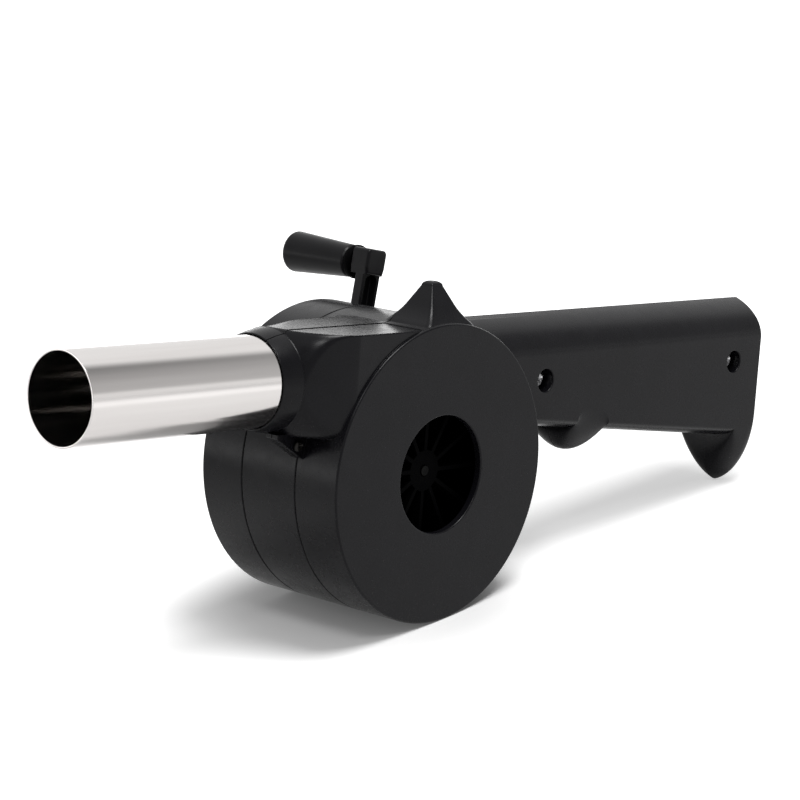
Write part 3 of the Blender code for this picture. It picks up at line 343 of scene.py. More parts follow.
def shaped(target, operation, *tools):
    """The target joined with, cut by or kept within the tools, which are used up."""
    for tool in tools:
        step = target.modifiers.new(operation, "BOOLEAN")
        step.operation = operation
        step.solver = "MANIFOLD"
        step.object = tool
    graph = bpy.context.evaluated_depsgraph_get()
    mesh = bpy.data.meshes.new_from_object(target.evaluated_get(graph))
    target.modifiers.clear()
    target.data = mesh
    for tool in tools:
        bpy.data.objects.remove(tool, do_unlink=True)
    return target


def joined(target, *tools):
    return shaped(target, "UNION", *tools)


def cut(target, *tools):
    return shaped(target, "DIFFERENCE", *tools)


def rounded_rectangle(low, high, corners, steps):
    """A rectangle with round corners, from the corner of both high sides round."""
    points = []
    middles = (
        (high[0], -1, high[1], -1, corners[0], 0.0),
        (low[0], 1, high[1], -1, corners[1], 90.0),
        (low[0], 1, low[1], 1, corners[2], 180.0),
        (high[0], -1, low[1], 1, corners[3], 270.0),
    )
    for first, inward, second, upward, corner, start in middles:
        for angle in spread(math.radians(start), math.radians(start + 90.0), steps):
            points.append((first + inward * corner + corner * math.cos(angle),
                           second + upward * corner + corner * math.sin(angle)))
    return points


# The casing's forms

def drum_form():
    """The drum, with round rims and a small chamfer on each side of its two seams."""
    corners = [(0.0, 0.0, 0.0), (DRUM_RADIUS, 0.0, RIM_ROUND)]
    for seam in (FIRST_SEAM_Y, SECOND_SEAM_Y):
        reach = SEAM_GAP / 2 + SEAM_CHAMFER
        corners += [
            (DRUM_RADIUS, seam + reach, 0.0),
            (DRUM_RADIUS - SEAM_CHAMFER, seam + SEAM_GAP / 2, 0.0),
            (DRUM_RADIUS - SEAM_CHAMFER, seam - SEAM_GAP / 2, 0.0),
            (DRUM_RADIUS, seam - reach, 0.0),
        ]
    corners += [(DRUM_RADIUS, BACK_Y, RIM_ROUND), (0.0, BACK_Y, 0.0)]
    return turned("drum_form", softened(corners, 6), steps=DRUM_STEPS)


def duct_section(x, inset):
    """The duct's loop at x: a round-cornered box at the drum that becomes the round collar."""
    end = COLLAR_END_X - LIP_LENGTH
    blend = min(max((x - end + DUCT_BLEND) / DUCT_BLEND, 0.0), 1.0)
    far_blend = smooth_step((x - end + DUCT_FAR_BLEND) / DUCT_FAR_BLEND)
    outer = COLLAR_RADIUS - LIP_STEP
    low = (TUBE_Y - outer + inset, TUBE_Z - outer + inset)
    near = -SIDE_RECESS + (TUBE_Y + outer + SIDE_RECESS) * blend**DUCT_BEND
    high = (near - inset, TUBE_Z + outer - inset)
    growth = blend**3
    rounds = [
        DUCT_EDGE_ROUND + (outer - DUCT_EDGE_ROUND) * growth,
        DUCT_FAR_ROUND + (outer - DUCT_FAR_ROUND) * far_blend,
        DUCT_FOOT_ROUND + (outer - DUCT_FOOT_ROUND) * far_blend,
        DUCT_FOOT_ROUND + (outer - DUCT_FOOT_ROUND) * growth,
    ]
    corners = [max(corner - inset, DUCT_EDGE_ROUND / 2) for corner in rounds]
    return [Vector((x, y, z)) for y, z in rounded_rectangle(low, high, corners, 16)]


def duct_form():
    end = COLLAR_END_X - LIP_LENGTH
    stations = [-0.2 * DRUM_RADIUS] + spread(end - DUCT_FAR_BLEND, end, 32) + [end + LIP_STEP]
    return loft("duct_form", [duct_section(x, 0.0) for x in stations])


def lip_form():
    """The stepped ring round the tube."""
    corners = [
        (0.0, LIP_LENGTH, 0.0),
        (COLLAR_RADIUS - LIP_TAPER, LIP_LENGTH, HAIR_ROUND),
        (COLLAR_RADIUS - LIP_BAND, LIP_LENGTH - LIP_NOSE, HAIR_ROUND),
        (COLLAR_RADIUS - LIP_STEP, LIP_STEP, HAIR_ROUND),
        (COLLAR_RADIUS, 0.0, HAIR_ROUND),
        (0.0, 0.0, 0.0),
    ]
    place = (COLLAR_END_X - LIP_LENGTH, TUBE_Y, TUBE_Z)
    return turned("lip_form", softened(corners, 3), (1, 0, 0), place, TUBE_STEPS)


def duct_hollow():
    tube_start = COLLAR_END_X - TUBE_INSERTED
    bore = TUBE_RADIUS - TUBE_WALL
    far_start = COLLAR_END_X - LIP_LENGTH - DUCT_FAR_BLEND
    sections = [duct_section(x, WALL) for x in (0.3 * DRUM_RADIUS, far_start)]
    low = (TUBE_Y - bore, TUBE_Z - bore)
    high = (TUBE_Y + bore, TUBE_Z + bore)
    for x in (tube_start - WALL, tube_start + 2 * WALL):
        loop = rounded_rectangle(low, high, [bore] * 4, 16)
        sections.append([Vector((x, y, z)) for y, z in loop])
    return loft("duct_hollow", sections)


def tube_seat():
    radius = TUBE_RADIUS + FIXED_GAP
    length = TUBE_INSERTED + OUTSIDE
    profile = [(0.0, 0.0), (radius, 0.0), (radius, length), (0.0, length)]
    place = (COLLAR_END_X - TUBE_INSERTED, TUBE_Y, TUBE_Z)
    return turned("tube_seat", profile, (1, 0, 0), place, TUBE_STEPS)


def underside_z(distance):
    """The height of the handle's plain underside at a distance behind the drum's edge."""
    front = HANDLE_TOP_Z - HANDLE_HEIGHT_AT_DRUM
    rear = HANDLE_TOP_Z - HANDLE_HEIGHT_AT_TAIL
    return front + (rear - front) * distance / (HANDLE_LENGTH - TAIL_LENGTH)


def lobe_share(distance):
    """How far the finger lobe has grown, from 0 to 1."""
    reach = LOBE_FRONT if distance < LOBE_DISTANCE else LOBE_REAR
    along = min(abs(distance - LOBE_DISTANCE) / reach, 1.0)
    return math.sqrt(1.0 - along * along)


def tail_share(distance):
    """How far the tail has grown, from 0 to 1."""
    along = min(max((HANDLE_LENGTH - distance) / TAIL_LENGTH, 0.0), 1.0)
    return (1.0 - along**TAIL_CURVE) ** (1.0 / TAIL_CURVE)


def bottom_z(distance):
    """The height of the handle's lowest line, with the lobe, the tail and the tail's round heel."""
    heel = min(max((distance - HANDLE_LENGTH + TAIL_HEEL) / TAIL_HEEL, 0.0), 1.0)
    rise = TAIL_HEEL * (1.0 - math.sqrt(1.0 - heel * heel))
    lobe = LOBE_DEPTH * lobe_share(distance)
    tail = TAIL_DEPTH * tail_share(distance)
    return underside_z(distance) - lobe - tail + rise


def handle_section(distance, inset):
    """The handle's loop at a distance behind the drum's edge: round on top, a lobe and a tail below."""
    lobe = lobe_share(distance)
    tail = tail_share(distance)
    bottom = bottom_z(distance) + inset
    top = HANDLE_TOP_Z - inset
    half = HANDLE_HALF_THICKNESS - inset
    round_top = HANDLE_TOP_ROUND - inset
    round_bottom = HANDLE_BOTTOM_ROUND - inset / 2
    round_bottom += (LOBE_ROUND - HANDLE_BOTTOM_ROUND) * lobe
    round_bottom += (TAIL_ROUND - HANDLE_BOTTOM_ROUND) * tail
    x = -DRUM_RADIUS - distance
    points = []
    for angle in spread(0.0, math.pi, 32):
        rise = (math.sin(angle) + 1.0 - abs(1.0 - 2.0 * angle / math.pi)) / 2
        y = FIRST_SEAM_Y + half * math.cos(angle)
        points.append(Vector((x, y, top - round_top * (1.0 - rise))))
    for angle in spread(math.pi, 2 * math.pi, 32):
        pointed = 1.0 - abs(3.0 - 2.0 * angle / math.pi)
        drop = -math.sin(angle) + (pointed + math.sin(angle)) * tail * TAIL_POINT
        y = FIRST_SEAM_Y + half * math.cos(angle)
        points.append(Vector((x, y, bottom + round_bottom * (1.0 - drop))))
    return points


def handle_stations():
    """Distances behind the drum's edge, close together along the lobe and the tail."""
    quarter = math.pi / 2
    lobe = [LOBE_DISTANCE - LOBE_FRONT * math.cos(angle) for angle in spread(0.0, quarter, 20)]
    lobe += [LOBE_DISTANCE + LOBE_REAR * math.sin(angle) for angle in spread(0.0, quarter, 20)[1:]]
    tail_start = HANDLE_LENGTH - TAIL_LENGTH
    tail = [HANDLE_LENGTH - TAIL_LENGTH * math.cos(angle) for angle in spread(0.0, quarter, 28)]
    heel = [HANDLE_LENGTH - TAIL_HEEL * (1.0 - math.sin(angle)) for angle in spread(0.0, quarter, 12)]
    before_heel = [distance for distance in tail if distance < heel[0] - TAIL_HEEL / 20]
    middle = spread(lobe[-1], tail_start, 6)[1:-1]
    return [-1.1 * DRUM_RADIUS] + lobe + middle + before_heel + heel


def handle_form():
    return loft("handle_form", [handle_section(distance, 0.0) for distance in handle_stations()])


def handle_hollow():
    """The space inside the handle, without the bosses that its screws need."""
    stations = [d for d in handle_stations() if HOLLOW_START < d < HANDLE_LENGTH - WALL]
    hollow = loft("handle_hollow", [handle_section(distance, WALL) for distance in stations])
    bosses = [rod("boss", SCREW_BOSS_RADIUS, x, HANDLE_SCREW_Z, OUTSIDE, BACK_Y)
              for x in HANDLE_SCREWS.values()]
    return cut(hollow, *bosses)


def handle_tongue():
    """The thin tongue that closes the seam along the handle."""
    tongue = None
    for inset in (SEAM_CHAMFER, WALL / 2):
        stations = [d for d in handle_stations() if inset < d < HANDLE_LENGTH - inset]
        layer = loft("handle_tongue", [handle_section(distance, inset) for distance in stations])
        tongue = cut(tongue, layer) if tongue else layer
    start, end = HANDLE_END_X - OUTSIDE, -DRUM_RADIUS - HOLLOW_START
    outline = [(start, -DRUM_RADIUS), (end, -DRUM_RADIUS), (end, DRUM_RADIUS), (start, DRUM_RADIUS)]
    slab = prism("slab", outline, FIRST_SEAM_Y - SEAM_GAP, FIRST_SEAM_Y + 0.4 * SEAM_GAP)
    return shaped(tongue, "INTERSECT", slab)


def ear_form():
    """The pointed ear on top, flared where it meets the drum."""
    neck = EAR_HEIGHT - EAR_CROWN_HEIGHT
    crown_x, crown_y = EAR_CROWN_HALF_LENGTH, EAR_CROWN_HALF_WIDTH
    rises = [(-EAR_ROOT, 1.0), (-HAIR_ROUND, 1.0)]
    rises += [(EAR_FLARE_HEIGHT * share, (1.0 - share) ** 2) for share in spread(0, 1, 10)[1:]]
    sections = []
    for rise, flare in rises:
        left = 1.0 - max(rise, 0.0) / neck
        half_x = crown_x + (EAR_HALF_LENGTH - crown_x) * left + EAR_FLARE * flare
        half_y = crown_y + (EAR_HALF_WIDTH - crown_y) * left + EAR_FLARE / 2 * flare
        sections.append((rise, half_x, half_y))
    for turn in spread(0.0, math.pi / 2, 10):
        shrink = math.cos(turn)
        sections.append((neck + EAR_CROWN_HEIGHT * math.sin(turn), EAR_POINT + (crown_x - EAR_POINT) * shrink,
                         EAR_POINT + (crown_y - EAR_POINT) * shrink))
    loops = []
    for rise, half_x, half_y in sections:
        low = (EAR_X - half_x, EAR_Y - half_y)
        high = (EAR_X + half_x, EAR_Y + half_y)
        outline = rounded_rectangle(low, high, [min(half_x, half_y) / 5] * 4, 4)
        loops.append([Vector((x, y, DECK_Z + rise)) for x, y in outline])
    return loft("ear_form", loops)


def lug_corner():
    """The corner between the duct's underside and the drum."""
    z = TUBE_Z - COLLAR_RADIUS
    return math.sqrt(DRUM_RADIUS**2 - z**2), z


def lug_form():
    """The thin three-sided lug in the corner between the duct and the drum."""
    x, z = lug_corner()
    outline = softened([
        (x + LUG_LENGTH, z + WALL / 2, 0.0),
        (x + LUG_LENGTH, z, LUG_END_ROUND),
        (x + LUG_LENGTH / 10, z - LUG_DROP, LUG_TIP_ROUND),
        (x - WALL / 2, z - LUG_DROP, 0.0),
        (x - WALL, z + WALL / 2, 0.0),
    ])
    return prism("lug_form", outline, FIRST_SEAM_Y - LUG_HALF_THICKNESS, FIRST_SEAM_Y + LUG_HALF_THICKNESS)


def casing_form():
    """The whole casing with its hollows, before it is split into shells."""
    form = joined(drum_form(), duct_form(), lip_form(), handle_form(), ear_form(), lug_form())
    chamber = rod("fan_chamber", CHAMBER_RADIUS, 0, 0, CHAMBER_BACK_Y, -WALL, DRUM_STEPS)
    return cut(form, chamber, duct_hollow(), tube_seat(), handle_hollow())


def shell_of(name, form, y_low, y_high):
    """One shell of the casing, from one height along Y to another."""
    shell = bpy.data.objects.new(name, form.data.copy())
    scene.collection.objects.link(shell)
    low_x, high_x = HANDLE_END_X - OUTSIDE, COLLAR_END_X + OUTSIDE
    low_z, high_z = -DRUM_RADIUS - OUTSIDE, DRUM_RADIUS + 2 * OUTSIDE
    outline = [(low_x, low_z), (high_x, low_z), (high_x, high_z), (low_x, high_z)]
    return shaped(shell, "INTERSECT", prism("slab", outline, y_low, y_high))


def lug_screw_place():
    x, z = lug_corner()
    return x + LUG_LENGTH - LUG_SCREW_INSET, z - LUG_SCREW_DROP


def cover_screw_places():
    reach = CHAMBER_RADIUS - COVER_BOSS_RADIUS - SEAM_GAP
    for number, degrees in enumerate(COVER_SCREW_ANGLES, 1):
        angle = math.radians(degrees)
        yield number, reach * math.cos(angle), reach * math.sin(angle)


def lug_hole():
    x, z = lug_screw_place()
    return rod("lug_hole", LUG_SCREW_RADIUS + FIXED_GAP, x, z, BACK_Y, OUTSIDE, TINY_STEPS)


def front_shell(form):
    """The shell with the inlet and the recesses of the handle's screws."""
    shell = shell_of("front_shell", form, FIRST_SEAM_Y + SEAM_GAP / 2, OUTSIDE)
    opening_top = INLET_RADIUS + 2 * INLET_ROUND
    opening = softened([
        (0.0, -2 * WALL, 0.0), (INLET_RADIUS, -2 * WALL, 0.0), (INLET_RADIUS, 0.0, INLET_ROUND),
        (opening_top, 0.0, 0.0), (opening_top, OUTSIDE, 0.0), (0.0, OUTSIDE, 0.0),
    ])
    step_end, low, high = COLLAR_END_X - LIP_LENGTH, DECK_Z - DECK_STEP, DECK_Z + DECK_STEP
    step = [(DECK_STEP_START, low), (step_end, low), (step_end, high), (DECK_STEP_START, high)]
    tools = [turned("opening", opening, steps=DRUM_STEPS // 2), lug_hole(),
             prism("step", step, BACK_Y, OUTSIDE)]
    side_y = FIRST_SEAM_Y + HANDLE_HALF_THICKNESS
    floor_y = side_y - RECESS_DEPTH
    rim = RECESS_RADIUS + 2 * RECESS_RIM
    recess = softened([
        (0.0, floor_y, 0.0), (RECESS_RADIUS, floor_y, FINE_ROUND), (RECESS_RADIUS, side_y, RECESS_RIM),
        (rim, side_y, 0.0), (rim, OUTSIDE, 0.0), (0.0, OUTSIDE, 0.0),
    ])
    radius = SCREW_SHANK_RADIUS + FIXED_GAP
    for x in HANDLE_SCREWS.values():
        tools.append(turned("recess", recess, place=(x, 0, HANDLE_SCREW_Z)))
        tools.append(rod("hole", radius, x, HANDLE_SCREW_Z, BACK_Y, OUTSIDE, TINY_STEPS))
    return cut(shell, *tools)


def middle_shell(form):
    """The shell with the partition, the bush's boss and the posts of the cover's screws."""
    shell = shell_of("centre_shell", form, SECOND_SEAM_Y + SEAM_GAP / 2, FIRST_SEAM_Y - SEAM_GAP / 2)
    inside = PARTITION_Y + WALL / 2
    spigot_end = PARTITION_Y - SPIGOT_BOSS
    bosses = [
        rod("bush_boss", BUSH_RADIUS + BUSH_BOSS_WALL, 0, 0, inside, BUSH_TOP_Y),
        rod("spigot_boss", SPIGOT_RADIUS + BUSH_BOSS_WALL, CRANK_X, 0, spigot_end, inside),
    ]
    holes = [
        rod("bush_seat", BUSH_RADIUS + FIXED_GAP, 0, 0, BACK_Y, OUTSIDE),
        rod("spigot_bore", SPIGOT_RADIUS + RUNNING_GAP, CRANK_X, 0, BACK_Y, spigot_end + SPIGOT_LENGTH),
        rod("axle_seat", AXLE_RADIUS + FIXED_GAP, IDLER_X, IDLER_Z, BACK_Y, PARTITION_Y + AXLE_SEAT),
        lug_hole(),
    ]
    pilot_end = FIRST_SEAM_Y + HANDLE_HALF_THICKNESS - RECESS_DEPTH - SCREW_LENGTH - WALL / 4
    radius = SCREW_SHANK_RADIUS + FIXED_GAP
    for x in HANDLE_SCREWS.values():
        holes.append(rod("pilot", radius, x, HANDLE_SCREW_Z, pilot_end, OUTSIDE, TINY_STEPS))
    for _, x, z in cover_screw_places():
        bosses.append(rod("post", COVER_BOSS_RADIUS, x, z, SECOND_SEAM_Y - COVER_BOSS_SPLIT, inside))
        holes.append(rod("post_pilot", radius, x, z, BACK_Y, PARTITION_Y + WALL / 4, TINY_STEPS))
    return cut(joined(shell, handle_tongue(), *bosses), *holes)


def back_shell(form):
    """The cover over the gears, with the crank's hub and the columns of its screws."""
    shell = shell_of("back_shell", form, BACK_Y - OUTSIDE, SECOND_SEAM_Y - SEAM_GAP / 2)
    chamber = rod("gear_chamber", CHAMBER_RADIUS, 0, 0, BACK_Y + WALL, FIRST_SEAM_Y, DRUM_STEPS)
    cut(shell, chamber)
    hub_end = BACK_Y - COVER_HUB_HEIGHT
    hub = softened([
        (0.0, COVER_HUB_TOP_Y, 0.0), (COVER_HUB_RADIUS, COVER_HUB_TOP_Y, 0.0),
        (COVER_HUB_RADIUS, hub_end, COVER_HUB_EDGE), (0.0, hub_end, 0.0),
    ])
    inside, past, axle_end = BACK_Y + WALL / 2, BACK_Y - OUTSIDE, IDLER_OUTER_Y - SEAM_GAP
    bosses = [
        turned("cover_hub", hub, place=(CRANK_X, 0, 0)),
        rod("axle_boss", AXLE_RADIUS + BUSH_BOSS_WALL, IDLER_X, IDLER_Z, inside, axle_end),
    ]
    holes = [
        rod("crank_bore", CRANK_SHAFT_RADIUS + RUNNING_GAP, CRANK_X, 0, past, OUTSIDE),
        rod("axle_hole", AXLE_RADIUS + FIXED_GAP, IDLER_X, IDLER_Z, inside, OUTSIDE),
    ]
    top = SECOND_SEAM_Y - COVER_BOSS_SPLIT - SEAM_GAP
    radius = SCREW_HEAD_RADIUS + FIXED_GAP
    rim = radius + 2 * FINE_ROUND
    recess = softened([
        (0.0, BACK_Y + COVER_RECESS_DEPTH, 0.0), (radius, BACK_Y + COVER_RECESS_DEPTH, 0.0),
        (radius, BACK_Y, FINE_ROUND), (rim, BACK_Y, 0.0), (rim, past, 0.0), (0.0, past, 0.0),
    ])
    shank = SCREW_SHANK_RADIUS + FIXED_GAP
    for _, x, z in cover_screw_places():
        bosses.append(rod("column", COVER_BOSS_RADIUS, x, z, inside, top))
        holes.append(turned("cover_recess", recess, place=(x, 0, z)))
        holes.append(rod("cover_hole", shank, x, z, past, OUTSIDE, TINY_STEPS))
    return cut(joined(shell, *bosses), *holes)


# Tube, crank and screws

def nozzle_tube():
    """The steel tube, with its edges broken."""
    length = TUBE_INSERTED + TUBE_EXPOSED
    bore = TUBE_RADIUS - TUBE_WALL
    ends = ((bore, length), (TUBE_RADIUS, length), (TUBE_RADIUS, 0.0), (bore, 0.0))
    profile = softened([(radius, height, TUBE_EDGE) for radius, height in ends], 3)
    place = (COLLAR_END_X - TUBE_INSERTED + FIXED_GAP, TUBE_Y, TUBE_Z)
    return turned("nozzle_tube", profile, (1, 0, 0), place, TUBE_STEPS)


HUB_PLACE = Vector((CRANK_X, 0.0, 0.0))
ALONG_ARM = Vector((-math.sin(CRANK_LEAN), 0.0, math.cos(CRANK_LEAN)))
ACROSS_ARM = Vector((ALONG_ARM.z, 0.0, -ALONG_ARM.x))
KNOB_PLACE = HUB_PLACE + ALONG_ARM * CRANK_LENGTH
BAR_TOP_Y = ARM_INNER_Y - ARM_STEP


def on_arm(side, distance, y):
    """A point beside the arm's middle line, at a distance from the crank's axis."""
    return HUB_PLACE + ALONG_ARM * distance + ACROSS_ARM * side + Vector((0, y, 0))


def arm_bar():
    """The bar, a little wider near its hub."""
    sections = []
    for distance in spread(0.0, CRANK_LENGTH, 60):
        near_hub = smooth_step((ARM_WIDENING_END - distance) / ARM_WIDENING_LENGTH)
        half = ARM_WIDTH / 2 + ARM_WIDENING * near_hub
        low, high = (-half, BAR_TOP_Y - ARM_THICKNESS), (half, BAR_TOP_Y)
        loop = rounded_rectangle(low, high, [FINE_ROUND] * 4, 5)
        sections.append([on_arm(side, distance, y) for side, y in loop])
    return loft("crank_arm_fine", sections)


def arm_hub():
    outer_y = ARM_INNER_Y - ARM_HUB_DEPTH
    return turned("arm_hub", softened([
        (0.0, ARM_INNER_Y, 0.0), (ARM_HUB_RADIUS, ARM_INNER_Y, FINE_ROUND),
        (ARM_HUB_RADIUS, outer_y, ARM_HUB_EDGE), (0.0, outer_y, 0.0),
    ]), place=HUB_PLACE)


def knob_block():
    """The rounded block at the arm's end that holds the knob's pin."""
    outline = softened([
        (-ARM_WIDTH / 2, BLOCK_FOOT, 0.0), (-BLOCK_HALF_WIDTH, BLOCK_SHOULDER, BLOCK_SHOULDER_ROUND),
        (-BLOCK_HALF_WIDTH, BLOCK_TOP, BLOCK_CORNER), (BLOCK_HALF_WIDTH, BLOCK_TOP, BLOCK_CORNER),
        (BLOCK_HALF_WIDTH, BLOCK_SHOULDER, BLOCK_SHOULDER_ROUND), (ARM_WIDTH / 2, BLOCK_FOOT, 0.0),
    ])
    top, low = ARM_INNER_Y - BLOCK_STEP, ARM_INNER_Y - KNOB_BOSS_DEPTH
    levels = [(low, 1.0 - HAIR_ROUND / BLOCK_HALF_WIDTH), (low + HAIR_ROUND, 1.0)]
    for angle in spread(0.0, math.pi / 2, 5):
        levels.append((top - BLOCK_EDGE * (1.0 - math.sin(angle)),
                       1.0 - BLOCK_EDGE / BLOCK_HALF_WIDTH * (1.0 - math.cos(angle))))
    return loft("knob_block", [
        [on_arm(side * size, CRANK_LENGTH + (distance - CRANK_LENGTH) * size, y)
         for side, distance in outline]
        for y, size in levels
    ])


def arm_groove():
    """The round-ended channel in the bar's inner face."""
    sections = []
    for distance in spread(ARM_GROOVE_START, ARM_GROOVE_END, 48):
        from_end = min(distance - ARM_GROOVE_START, ARM_GROOVE_END - distance) / (ARM_GROOVE_WIDTH / 2)
        left = 1.0 - min(max(from_end, 0.0), 1.0)
        half = ARM_GROOVE_WIDTH / 2 * max(math.sqrt(1.0 - left**2), ARM_GROOVE_NARROWEST)
        low, high = (-half, BAR_TOP_Y - ARM_GROOVE_DEPTH), (half, BAR_TOP_Y + ARM_STEP)
        loop = rounded_rectangle(low, high, [0.0, 0.0, half / 5, half / 5], 3)
        sections.append([on_arm(side, distance, y) for side, y in loop])
    return loft("arm_groove", sections)


def crank_arm():
    """A channelled bar between a hub for the shaft and a block for the knob."""
    arm = joined(arm_bar(), arm_hub(), knob_block())
    past = ARM_INNER_Y - 2 * ARM_HUB_DEPTH
    socket_end = ARM_INNER_Y - ARM_HUB_DEPTH + WALL
    seat_end = ARM_INNER_Y - KNOB_BOSS_DEPTH + KNOB_PIN_SEAT
    hub_x, hub_z, knob_x, knob_z = HUB_PLACE.x, HUB_PLACE.z, KNOB_PLACE.x, KNOB_PLACE.z
    return cut(
        arm, arm_groove(),
        rod("arm_socket", CRANK_SHAFT_RADIUS + FIXED_GAP, hub_x, hub_z, socket_end, OUTSIDE),
        rod("arm_screw_hole", CRANK_SCREW_RADIUS + FIXED_GAP, hub_x, hub_z, past, OUTSIDE, TINY_STEPS),
        rod("pin_seat", KNOB_PIN_RADIUS + FIXED_GAP, knob_x, knob_z, past, seat_end, TINY_STEPS),
    )


def washer():
    bore = KNOB_PIN_RADIUS + FIXED_GAP
    profile = softened([
        (bore, 0.0, HAIR_ROUND), (bore, WASHER_THICKNESS, HAIR_ROUND),
        (WASHER_RADIUS, WASHER_THICKNESS, WASHER_EDGE), (WASHER_RADIUS, 0.0, WASHER_EDGE),
    ], 4)
    return turned("grip_flange", profile, (0, -1, 0), KNOB_PLACE + Vector((0, WASHER_Y, 0)), WASHER_STEPS)


def grip():
    """The turned grip, wider at its free end, with a well for the pin's head."""
    bore = KNOB_PIN_RADIUS + RUNNING_GAP
    well = KNOB_PIN_HEAD_RADIUS + FIXED_GAP
    well_floor = KNOB_LENGTH - KNOB_PIN_HEAD_HEIGHT - SEAM_GAP
    profile = softened([
        (bore, 0.0, 0.0), (bore, well_floor, 0.0), (well, well_floor, 0.0), (well, KNOB_LENGTH, FINE_ROUND),
        (KNOB_OUTER_RADIUS, KNOB_LENGTH, KNOB_END_ROUND),
        (KNOB_INNER_RADIUS, KNOB_FOOT_HEIGHT, KNOB_FOOT_ROUND),
        (KNOB_INNER_RADIUS - KNOB_FOOT_TAPER, 0.0, 0.0),
    ], 8)
    return turned("grip", profile, (0, -1, 0), KNOB_PLACE + Vector((0, KNOB_Y, 0)), KNOB_STEPS)


def cross_recess(radius, depth, top, toward, place):
    """The tapered cross that a screwdriver fits, as two crossed wedges."""
    turn = Matrix.Translation(place) @ Vector(toward).to_track_quat("Z", "Y").to_matrix().to_4x4()
    wedges = []
    for quarter in (CROSS_TURN, CROSS_TURN + math.pi / 2):
        spin = Matrix.Rotation(quarter, 4, "Z")
        sections = []
        for share, height in ((1.25, top + depth / 4), (0.30, top - depth)):
            long, short = radius * CROSS_REACH * share, radius * CROSS_SLOT
            corners = ((-long, -short), (long, -short), (long, short), (-long, short))
            sections.append([turn @ spin @ Vector((a, b, height)) for a, b in corners])
        wedges.append(loft("wedge", sections))
    return wedges


def screw(name, head, shank_radius, length, toward, place, crossed=True):
    """A pan-head screw or a rivet pin. Its head, given as (radius, height), starts at place."""
    head_radius, head_height = head
    profile = [(0.0, -length), (shank_radius / 2, -length), (shank_radius, shank_radius - length),
               (shank_radius, 0.0), (head_radius, 0.0)]
    for angle in spread(0.0, math.pi / 2, 10):
        profile.append((head_radius * (HEAD_FLAT + (1.0 - HEAD_FLAT) * math.cos(angle)),
                        head_height * (HEAD_EDGE + (1.0 - HEAD_EDGE) * math.sin(angle))))
    profile.append((0.0, head_height))
    thing = turned(name, profile, toward, place, SCREW_STEPS)
    if crossed:
        cut(thing, *cross_recess(head_radius, head_height * CROSS_DEPTH, head_height, toward, place))
    return thing


# Materials

NOISE_SPAN = (0.3, 0.7)
COLOUR_SCALE = 90.0
SHINE_SCALE = 260.0
GRAIN_SCALE = 4200.0
GRAIN_HEIGHT = 0.00004
LINE_HEIGHT = 0.00002


def new_material(name, colour, roughness, metallic):
    """A material with its node tree and its shader."""
    material = bpy.data.materials.new(name)
    material.use_nodes = True
    material.diffuse_color = (*colour, 1.0)
    tree = material.node_tree
    shader = tree.nodes["Principled BSDF"]
    shader.inputs["Base Color"].default_value = (*colour, 1.0)
    shader.inputs["Roughness"].default_value = roughness
    shader.inputs["Metallic"].default_value = metallic
    return material, tree, shader


def noise(tree, scale, detail=3.0, stretch=(1.0, 1.0, 1.0)):
    """Noise along the casing's own axes, in cycles per metre."""
    place = tree.nodes.new("ShaderNodeTexCoord")
    mapping = tree.nodes.new("ShaderNodeMapping")
    mapping.vector_type = "TEXTURE"
    mapping.inputs["Location"].default_value = CASING.translation
    mapping.inputs["Rotation"].default_value = (0.0, -pitch, 0.0)
    mapping.inputs["Scale"].default_value = [1.0 / share for share in stretch]
    tree.links.new(place.outputs["Object"], mapping.inputs["Vector"])
    texture = tree.nodes.new("ShaderNodeTexNoise")
    texture.inputs["Scale"].default_value = scale
    texture.inputs["Detail"].default_value = detail
    tree.links.new(mapping.outputs["Vector"], texture.inputs["Vector"])
    return texture.outputs["Fac"]


def step_between(tree, value, low, high, start, end, smooth=True):
    """Runs from start to end while the value runs from low to high."""
    step = tree.nodes.new("ShaderNodeMapRange")
    step.interpolation_type = "SMOOTHSTEP" if smooth else "LINEAR"
    for name, number in (("From Min", low), ("From Max", high), ("To Min", start), ("To Max", end)):
        step.inputs[name].default_value = number
    tree.links.new(value, step.inputs["Value"])
    return step.outputs["Result"]


def combined(tree, operation, first, second):
    """The result of a sum, product or other operation on two values, each a number or a socket."""
    step = tree.nodes.new("ShaderNodeMath")
    step.operation = operation
    for socket, value in zip(step.inputs, (first, second)):
        if isinstance(value, float):
            socket.default_value = value
        else:
            tree.links.new(value, socket)
    return step.outputs[0]


def distance_from(tree, centre, squeeze):
    """The distance on the floor from a point, with X counted less or more."""
    place = tree.nodes.new("ShaderNodeTexCoord")
    mapping = tree.nodes.new("ShaderNodeMapping")
    mapping.inputs["Location"].default_value = (-centre[0] * squeeze, -centre[1], 0.0)
    mapping.inputs["Scale"].default_value = (squeeze, 1.0, 1.0)
    length = tree.nodes.new("ShaderNodeVectorMath")
    length.operation = "LENGTH"
    tree.links.new(place.outputs["Object"], mapping.inputs["Vector"])
    tree.links.new(mapping.outputs["Vector"], length.inputs[0])
    return length.outputs["Value"]


def varied_colour(tree, shader, value, low, high):
    """A colour that runs from low to high with the value."""
    ramp = tree.nodes.new("ShaderNodeValToRGB")
    for element, position, colour in zip(ramp.color_ramp.elements, NOISE_SPAN, (low, high)):
        element.position = position
        element.color = (*colour, 1.0)
    tree.links.new(value, ramp.inputs["Fac"])
    tree.links.new(ramp.outputs["Color"], shader.inputs["Base Color"])


